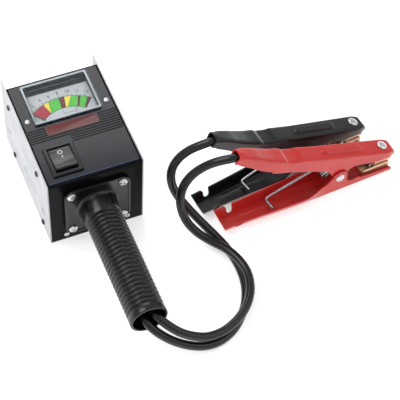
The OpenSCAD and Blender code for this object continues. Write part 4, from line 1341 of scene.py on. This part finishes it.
    def lower_row(self, x: float) -> list[Vector]:
        """Return the section of the lower half at a distance from its tail."""
        height = between(self.rail, x)
        flare = math.tan(math.radians(22.0)) * (1.0 - ramp(x, 74, 97))
        width = 7.0 + 3.15 * ramp(x, 0.0, 92.0)
        bend = min(1.8, height * 0.8)
        rise = [(height - (height - bend) * i / 7) for i in range(7)]
        left = [(-width - z * flare, z) for z in rise]
        left += self.folded(width, bend)
        flat = width - bend
        dent = 0.9 * (1.0 - ramp(abs(x - 44.0) - 20.0, 0.0, 5.0))
        across = [(-flat * 0.5, 0.0), (0.0, dent), (flat * 0.5, 0.0)]
        right = [(-y, z) for y, z in reversed(left)]
        slant = 0.35 * (1.0 - ramp(x, 0.0, 7.0))
        return [Vector((x - slant * z, y, z)) for y, z in [*left, *across, *right]]

    def lower_half(self) -> Piece:
        """Return the lower half: a flared channel with a notch, two ears and a narrow front."""
        stations = {0.0, 2.0, 4.0, 6.4, 7.2, 8.0, 8.1, 8.5, 8.9, 9.9, 11.0, 12.1, 13.1, 13.5, 13.9, 14.0,
                    14.8}
        stations |= {17.0 + 3 * i for i in range(25)} | {90.0 + 2 * i for i in range(6)}
        stations |= {102.0 + 0.8 * i for i in range(40)} | {136.0 + 3 * i for i in range(9)}
        stations |= {162.0, 163.5, 164.5, 165.0}
        half = Bench.loft("clamp_lower_half", [self.lower_row(x) for x in sorted(stations)])
        return self.pressed(half, Vector((0, 0, 1)))

    def pressed(self, sheet: Piece, inward: Vector) -> Piece:
        """Give a lofted sheet its thickness on its inner side, and soften its edges.

        Args:
            sheet: the lofted surface, which is the outer skin.
            inward: the side of the web that the metal lies on.

        Returns:
            The finished pressing.
        """
        Bench.edit(sheet)
        bpy.ops.mesh.remove_doubles(threshold=0.00001)
        bpy.ops.mesh.normals_make_consistent(inside=False)
        Bench.done()
        web_middle = 70 * MM
        middle = min(sheet.data.polygons, key=lambda f: abs(f.center.y) + abs(f.center.x - web_middle))
        if middle.normal.dot(inward) > 0:
            Bench.edit(sheet)
            bpy.ops.mesh.flip_normals()
            Bench.done()
        Bench.modify(sheet, "SOLIDIFY", thickness=self.sheet * MM, offset=-1.0, use_even_offset=False)
        return Bench.smooth(Bench.bevel(sheet, 0.28, 2, 55.0), 40.0)

    def pivot_rivet(self) -> Piece:
        """Return the pivot rivet with a domed head on each side."""
        out = self.half + 0.35 + self.sheet + 0.1
        shank = 2.5
        head = [(4.4, out), (4.4, out + 0.3), (4.1, out + 0.8), (3.3, out + 1.25), (2.2, out + 1.5),
                (1.0, out + 1.6)]
        side = [(0.0, -out - 1.62), *[(r, -z) for r, z in reversed(head)], (shank, -out), (shank, out),
                *head, (0.0, out + 1.62)]
        at = shift(self.pivot[0], 0, self.pivot[1]) @ turn(90, "X")
        return Bench.turned("pivot_rivet", side, 40, at)

    def spring_back(self) -> Piece:
        """Return the spring's coil and the long leg whose end lies across the lower half."""
        cx, cy, cz, r, pitch = 98.5, 4.4, 23.0, 3.6, 2.08
        per_turn, first, count = 20, 15, 78
        coil = [(cx + r * math.cos(a), cy - pitch * (a - ROUND * first / per_turn) / ROUND,
                 cz + r * math.sin(-a))
                for a in (ROUND * i / per_turn for i in range(first, first + count))]
        leg = along([(46.6, -6.2, 6.2), (45.6, -1.0, 6.6), (45.0, 3.4, 7.3), (46.6, 4.6, 8.4),
                     (54, 4.6, 11.2), (80, 4.6, 20.4), (92, 4.5, 24.8)], 6)
        return Bench.rod("spring_back", [*leg, *coil], self.spring_radius, 3)

    def spring_front(self) -> Piece:
        """Return the spring's short leg, which stands up under the upper half."""
        leg = along([(95.9, -3.7, 25.4), (98.4, -4.2, 28.2), (103.0, -4.5, 33.0), (108.5, -4.6, 39.0),
                     (110.0, -4.6, 42.0)])
        return Bench.rod("spring_front", leg, self.spring_radius, 3)

    def toothed(self, x0: float, x1: float, z: float, way: float) -> list[tuple[float, float]]:
        """Return a row of rounded teeth from x0 to x1 that point up or down from a line."""
        count = max(int((x1 - x0) / 2.7), 1)
        step = (x1 - x0) / count
        points = []
        for i in range(count):
            for share, lift in ((0.0, 0.0), (0.3, 0.9), (0.5, 1.25), (0.7, 0.9)):
                points.append((x0 + (i + share) * step, z + way * lift))
        return [*points, (x1, z)]

    @staticmethod
    def copper(name: str, wide: float, side: Sequence[tuple[float, float]],
               *bridges: Sequence[tuple[float, float]]) -> Piece:
        """Return a folded copper jaw.

        Args:
            name: its name.
            wide: half its width.
            side: the outline of each cheek, in X and Z.
            bridges: the outlines of the plates that join the cheeks.

        Returns:
            The jaw, its edges softened.
        """
        thick = 1.1
        parts = [Bench.plate(f"cheek_{s}", [(x, s * wide - (thick if s > 0 else 0.0), z) for x, z in side],
                             (0, thick, 0)) for s in (-1, 1)]
        parts += [Bench.plate("bridge", [(x, -wide, z) for x, z in points], (0, 2 * wide, 0))
                  for points in bridges]
        softened = [Bench.bevel(part, 0.22, 2, 40.0) for part in parts]
        return Bench.smooth(Bench.join(name, softened), 45.0)

    def jaw_upper(self) -> Piece:
        """Return the copper jaw under the nose, toothed along both lower edges."""
        side = [(148.0, 28.2), *self.toothed(148.0, 164.6, 13.6, -1.0), (164.8, 21.8)]
        roof = [(148.0, 28.4), (164.8, 21.9), (164.8, 20.9), (148.0, 27.4)]
        front = [(163.9, 14.4), (164.9, 14.4), (164.9, 21.6), (163.9, 21.6)]
        return self.copper("jaw_upper_copper", 6.7, side, roof, front)

    def jaw_lower(self) -> Piece:
        """Return the copper bracket in the lower half, toothed along both upper edges."""
        side = [(138.4, 1.4), (136.4, 9.0), (137.6, 10.8), (146.0, 10.6),
                *self.toothed(147.0, 163.4, 10.6, 1.0), (163.6, 1.4)]
        floor = [(138.4, 1.4), (163.6, 1.4), (163.6, 2.4), (138.4, 2.4)]
        front = [(162.6, 1.6), (163.6, 1.6), (163.6, 9.8), (162.6, 9.8)]
        return self.copper("jaw_lower_copper", 7.2, side, floor, front)

    def nose_rivet(self) -> Piece:
        """Return the domed rivet on the nose."""
        profile = [(0, -5.0), (2.0, -5.0), (2.0, 0.1), (4.6, 0.1), (4.6, 0.7), (4.2, 1.3), (3.2, 1.85),
                   (1.6, 2.2), (0, 2.3)]
        return Bench.turned("nose_rivet_head", profile, 40, shift(157, 0, 28.2) @ turn(22.0, "Y"))

    def crimp(self) -> Piece:
        """Return the pinched band that grips the lead at the tail."""
        r, wall = 3.95, 0.5
        profile = [(r, 0.0), (r + wall, 0.25), (r + wall, 1.5), (r + wall * 0.6, 2.2), (r + wall, 2.9),
                   (r + wall, 4.2), (r, 4.5)]
        at = shift(13, 0, 91) @ turn(121.0, "Y") @ shift(0, 0, -1.0)
        return Bench.turned("crimp_band", profile, 48, at, True)

    def jaw_rivet(self) -> Piece:
        """Return the rivet that holds the lower jaw."""
        profile = [(0, -0.8), (2.0, -0.8), (2.0, 1.0), (3.5, 1.0), (3.5, 1.5), (2.8, 2.1), (1.4, 2.4),
                   (0, 2.45)]
        return Bench.turned("jaw_rivet_head", profile, 32, shift(152, 0, self.sheet))

    def braid(self) -> Piece:
        """Return the plaited jumper between the jaws, as three twisted strands."""
        spine = along([(151, 0, 25.5), (146, 0, 24.8), (142.6, 0, 20), (141.4, 0, 14), (142.8, 0, 8.5),
                       (146, 0, 5.0)], 8)
        strands, count, lay = [], 3, 9
        for k in range(count):
            path = []
            for i, point in enumerate(spine):
                a = ROUND * (k / count + i / lay)
                path.append(point + Vector((0.62 * math.cos(a), 1.5 * math.sin(a), 0.3 * math.cos(a))))
            strands.append(Bench.rod(f"strand_{k}", path, 0.78, 1))
        return Bench.join("jaw_braid", strands)


# ---- Studio ----


@dataclass
class Studio:
    """The floor, the lights and the camera."""

    place: Point = (-0.21792, -0.64542, 0.99867)
    azimuth: float = -25.931
    elevation: float = 54.415
    roll: float = 4.288
    lens: float = 126.0
    sensor: float = 36.0

    def build(self) -> None:
        """Set up the camera, the world, the lights and the floor."""
        self.camera()
        self.world()
        self.floor()
        self.light("key_softbox", (-0.55, 0.25, 1.15), (0.05, 0.0, 0.03), 0.7, 5.5)
        self.light("fill_softbox", (0.95, -0.55, 1.0), (0.1, 0.0, 0.03), 1.2, 3.0)
        self.light("far_softbox", (0.15, 1.1, 0.9), (0.05, 0.0, 0.04), 0.8, 4.0)

    def camera(self) -> None:
        """Place the camera."""
        a, e, r = (math.radians(v) for v in (self.azimuth, self.elevation, self.roll))
        back = Vector((math.sin(a) * math.cos(e), -math.cos(a) * math.cos(e), math.sin(e)))
        right = Vector((math.cos(a), math.sin(a), 0.0))
        up = back.cross(right)
        x_axis = right * math.cos(r) + up * math.sin(r)
        y_axis = up * math.cos(r) - right * math.sin(r)
        camera = bpy.data.objects.new("studio_camera", bpy.data.cameras.new("studio_camera"))
        bpy.context.collection.objects.link(camera)
        camera.data.lens = self.lens
        camera.data.sensor_width = self.sensor
        camera.data.clip_end = 20.0
        turned = Matrix((x_axis, y_axis, back)).transposed().to_4x4()
        camera.matrix_world = Matrix.Translation(self.place) @ turned
        bpy.context.scene.camera = camera

    def world(self) -> None:
        """Fill the room with soft white light."""
        world = bpy.data.worlds.new("studio_world")
        world.use_nodes = True
        sockets = world.node_tree.nodes["Background"].inputs
        sockets["Color"].default_value = (1.0, 1.0, 1.0, 1.0)
        sockets["Strength"].default_value = 0.6
        bpy.context.scene.world = world
        bpy.context.scene.view_settings.view_transform = "Standard"

    def floor(self) -> None:
        """Lay the pale floor."""
        Bench.clear()
        side, drop = 12.0, 0.0004
        bpy.ops.mesh.primitive_plane_add(size=side, location=(0, 0, -drop))
        sheet = bpy.context.object
        sheet.name = "studio_floor"
        shader = Shader("floor_paper")
        paper = shader.blend(shader.noise(3.0), ink(250, 250, 250), ink(253, 253, 253))
        sheet.data.materials.append(shader.finish(
            Base_Color=paper, Roughness=0.9, Specular_IOR_Level=0.1,
            Emission_Color=(1.0, 1.0, 1.0, 1.0), Emission_Strength=0.5))

    def light(self, name: str, place: Point, aim: Point, size: float, power: float) -> None:
        """Hang a square softbox.

        Args:
            name: its name.
            place: where it hangs, in metres.
            aim: what it points at.
            size: its side, in metres.
            power: its power, in watts.
        """
        lamp = bpy.data.lights.new(name, "AREA")
        lamp.size = size
        lamp.energy = power
        holder = bpy.data.objects.new(name, lamp)
        bpy.context.collection.objects.link(holder)
        holder.location = place
        holder.rotation_euler = (Vector(aim) - Vector(place)).to_track_quat("-Z", "Y").to_euler()


RED_ROUTE = (
    (4, -104, 39.5), (5.5, -113, 39.2), (8, -121.5, 37.6), (14, -129, 33), (22.5, -135, 26.5),
    (33, -138.5, 20), (44, -140, 15), (57, -138.6, 12.2), (70, -134, 11.6), (82, -126.3, 11.5),
    (91.3, -116.3, 11.5), (97.3, -104.5, 11.5), (99.8, -91, 11.6), (97.4, -77, 11.9), (91.4, -64.4, 12.3),
    (82.7, -54, 13.4), (74, -45, 18), (67.5, -37.5, 26.5), (64.5, -31, 37), (65, -26, 48.5), (69, -23, 60),
    (76, -22.5, 70.5), (84.5, -24.5, 79.5), (94, -28.2, 87), (105, -32.4, 91.6), (114, -33.4, 91.3),
    (122, -33, 86.9),
)
BLACK_ROUTE = (
    (-4.5, -104, 36), (-3.6, -113, 35.4), (-1, -121.5, 33), (5, -129, 27.5), (15, -135.5, 19.5),
    (27, -140, 12), (40, -142.6, 6.6), (54, -142, 4.1), (68, -136.5, 3.9), (79.5, -127, 3.9),
    (88.5, -115.5, 3.9), (94.5, -102.5, 3.9), (97.4, -88.5, 3.9), (97.6, -74, 3.9), (95.5, -60.5, 4.4),
    (90.8, -48.8, 7.4), (84.6, -38.8, 13), (78, -29.8, 20.5), (71.5, -21, 29), (66, -13, 39),
    (63.8, -8, 50.5), (65.5, -5, 62), (71, -4.5, 73), (79, -6, 82), (88.5, -9, 88.8), (98.5, -11, 92.2),
    (107.8, -9.7, 88.1),
)
INNER_RED = (
    (4, -104, 39.5), (4, -90, 40), (4, -60, 41), (3.5, -30, 42), (2, -5, 42), (-2, 10, 42), (-8, 19, 42.5),
    (-12, 23, 45), (-12.8, 23.5, 50),
)
INNER_BLACK = (
    (-4.5, -104, 36), (-5, -90, 36), (-5, -60, 35), (-4, -30, 34), (-2, -5, 33), (4, 8, 31), (12, 20, 27),
    (18, 34, 23), (22.5, 44, 22), (23.25, 51.6, 22),
)


def main() -> None:
    """Build the tester, piece by piece."""
    Studio().build()
    for name, finish in NODE_FINISHES.items():
        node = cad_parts[name]
        node.data.materials.clear()
        node.data.materials.append(finish.material())
    red = Clamp(Side.RED, (102.0, -34.5, 0.0), 4.2).build()
    black = Clamp(Side.BLACK, (90.5, -12.0, 0.0), 8.0).build()
    Lead(Side.RED, (8.0, -121.5, 37.6), RED_ROUTE).build(red[-1:])
    Lead(Side.BLACK, (-1.0, -121.5, 33.0), BLACK_ROUTE).build(black[-1:])
    HiddenLead(Side.RED, INNER_RED).build()
    HiddenLead(Side.BLACK, INNER_BLACK).build()
    Housing().build()
    Meter().build()
    Switch().build()
    Handle().build()
    Bench.clear()


if __name__ == "__main__":
    logging.basicConfig(level=logging.INFO, format="%(name)s %(message)s")
    main()
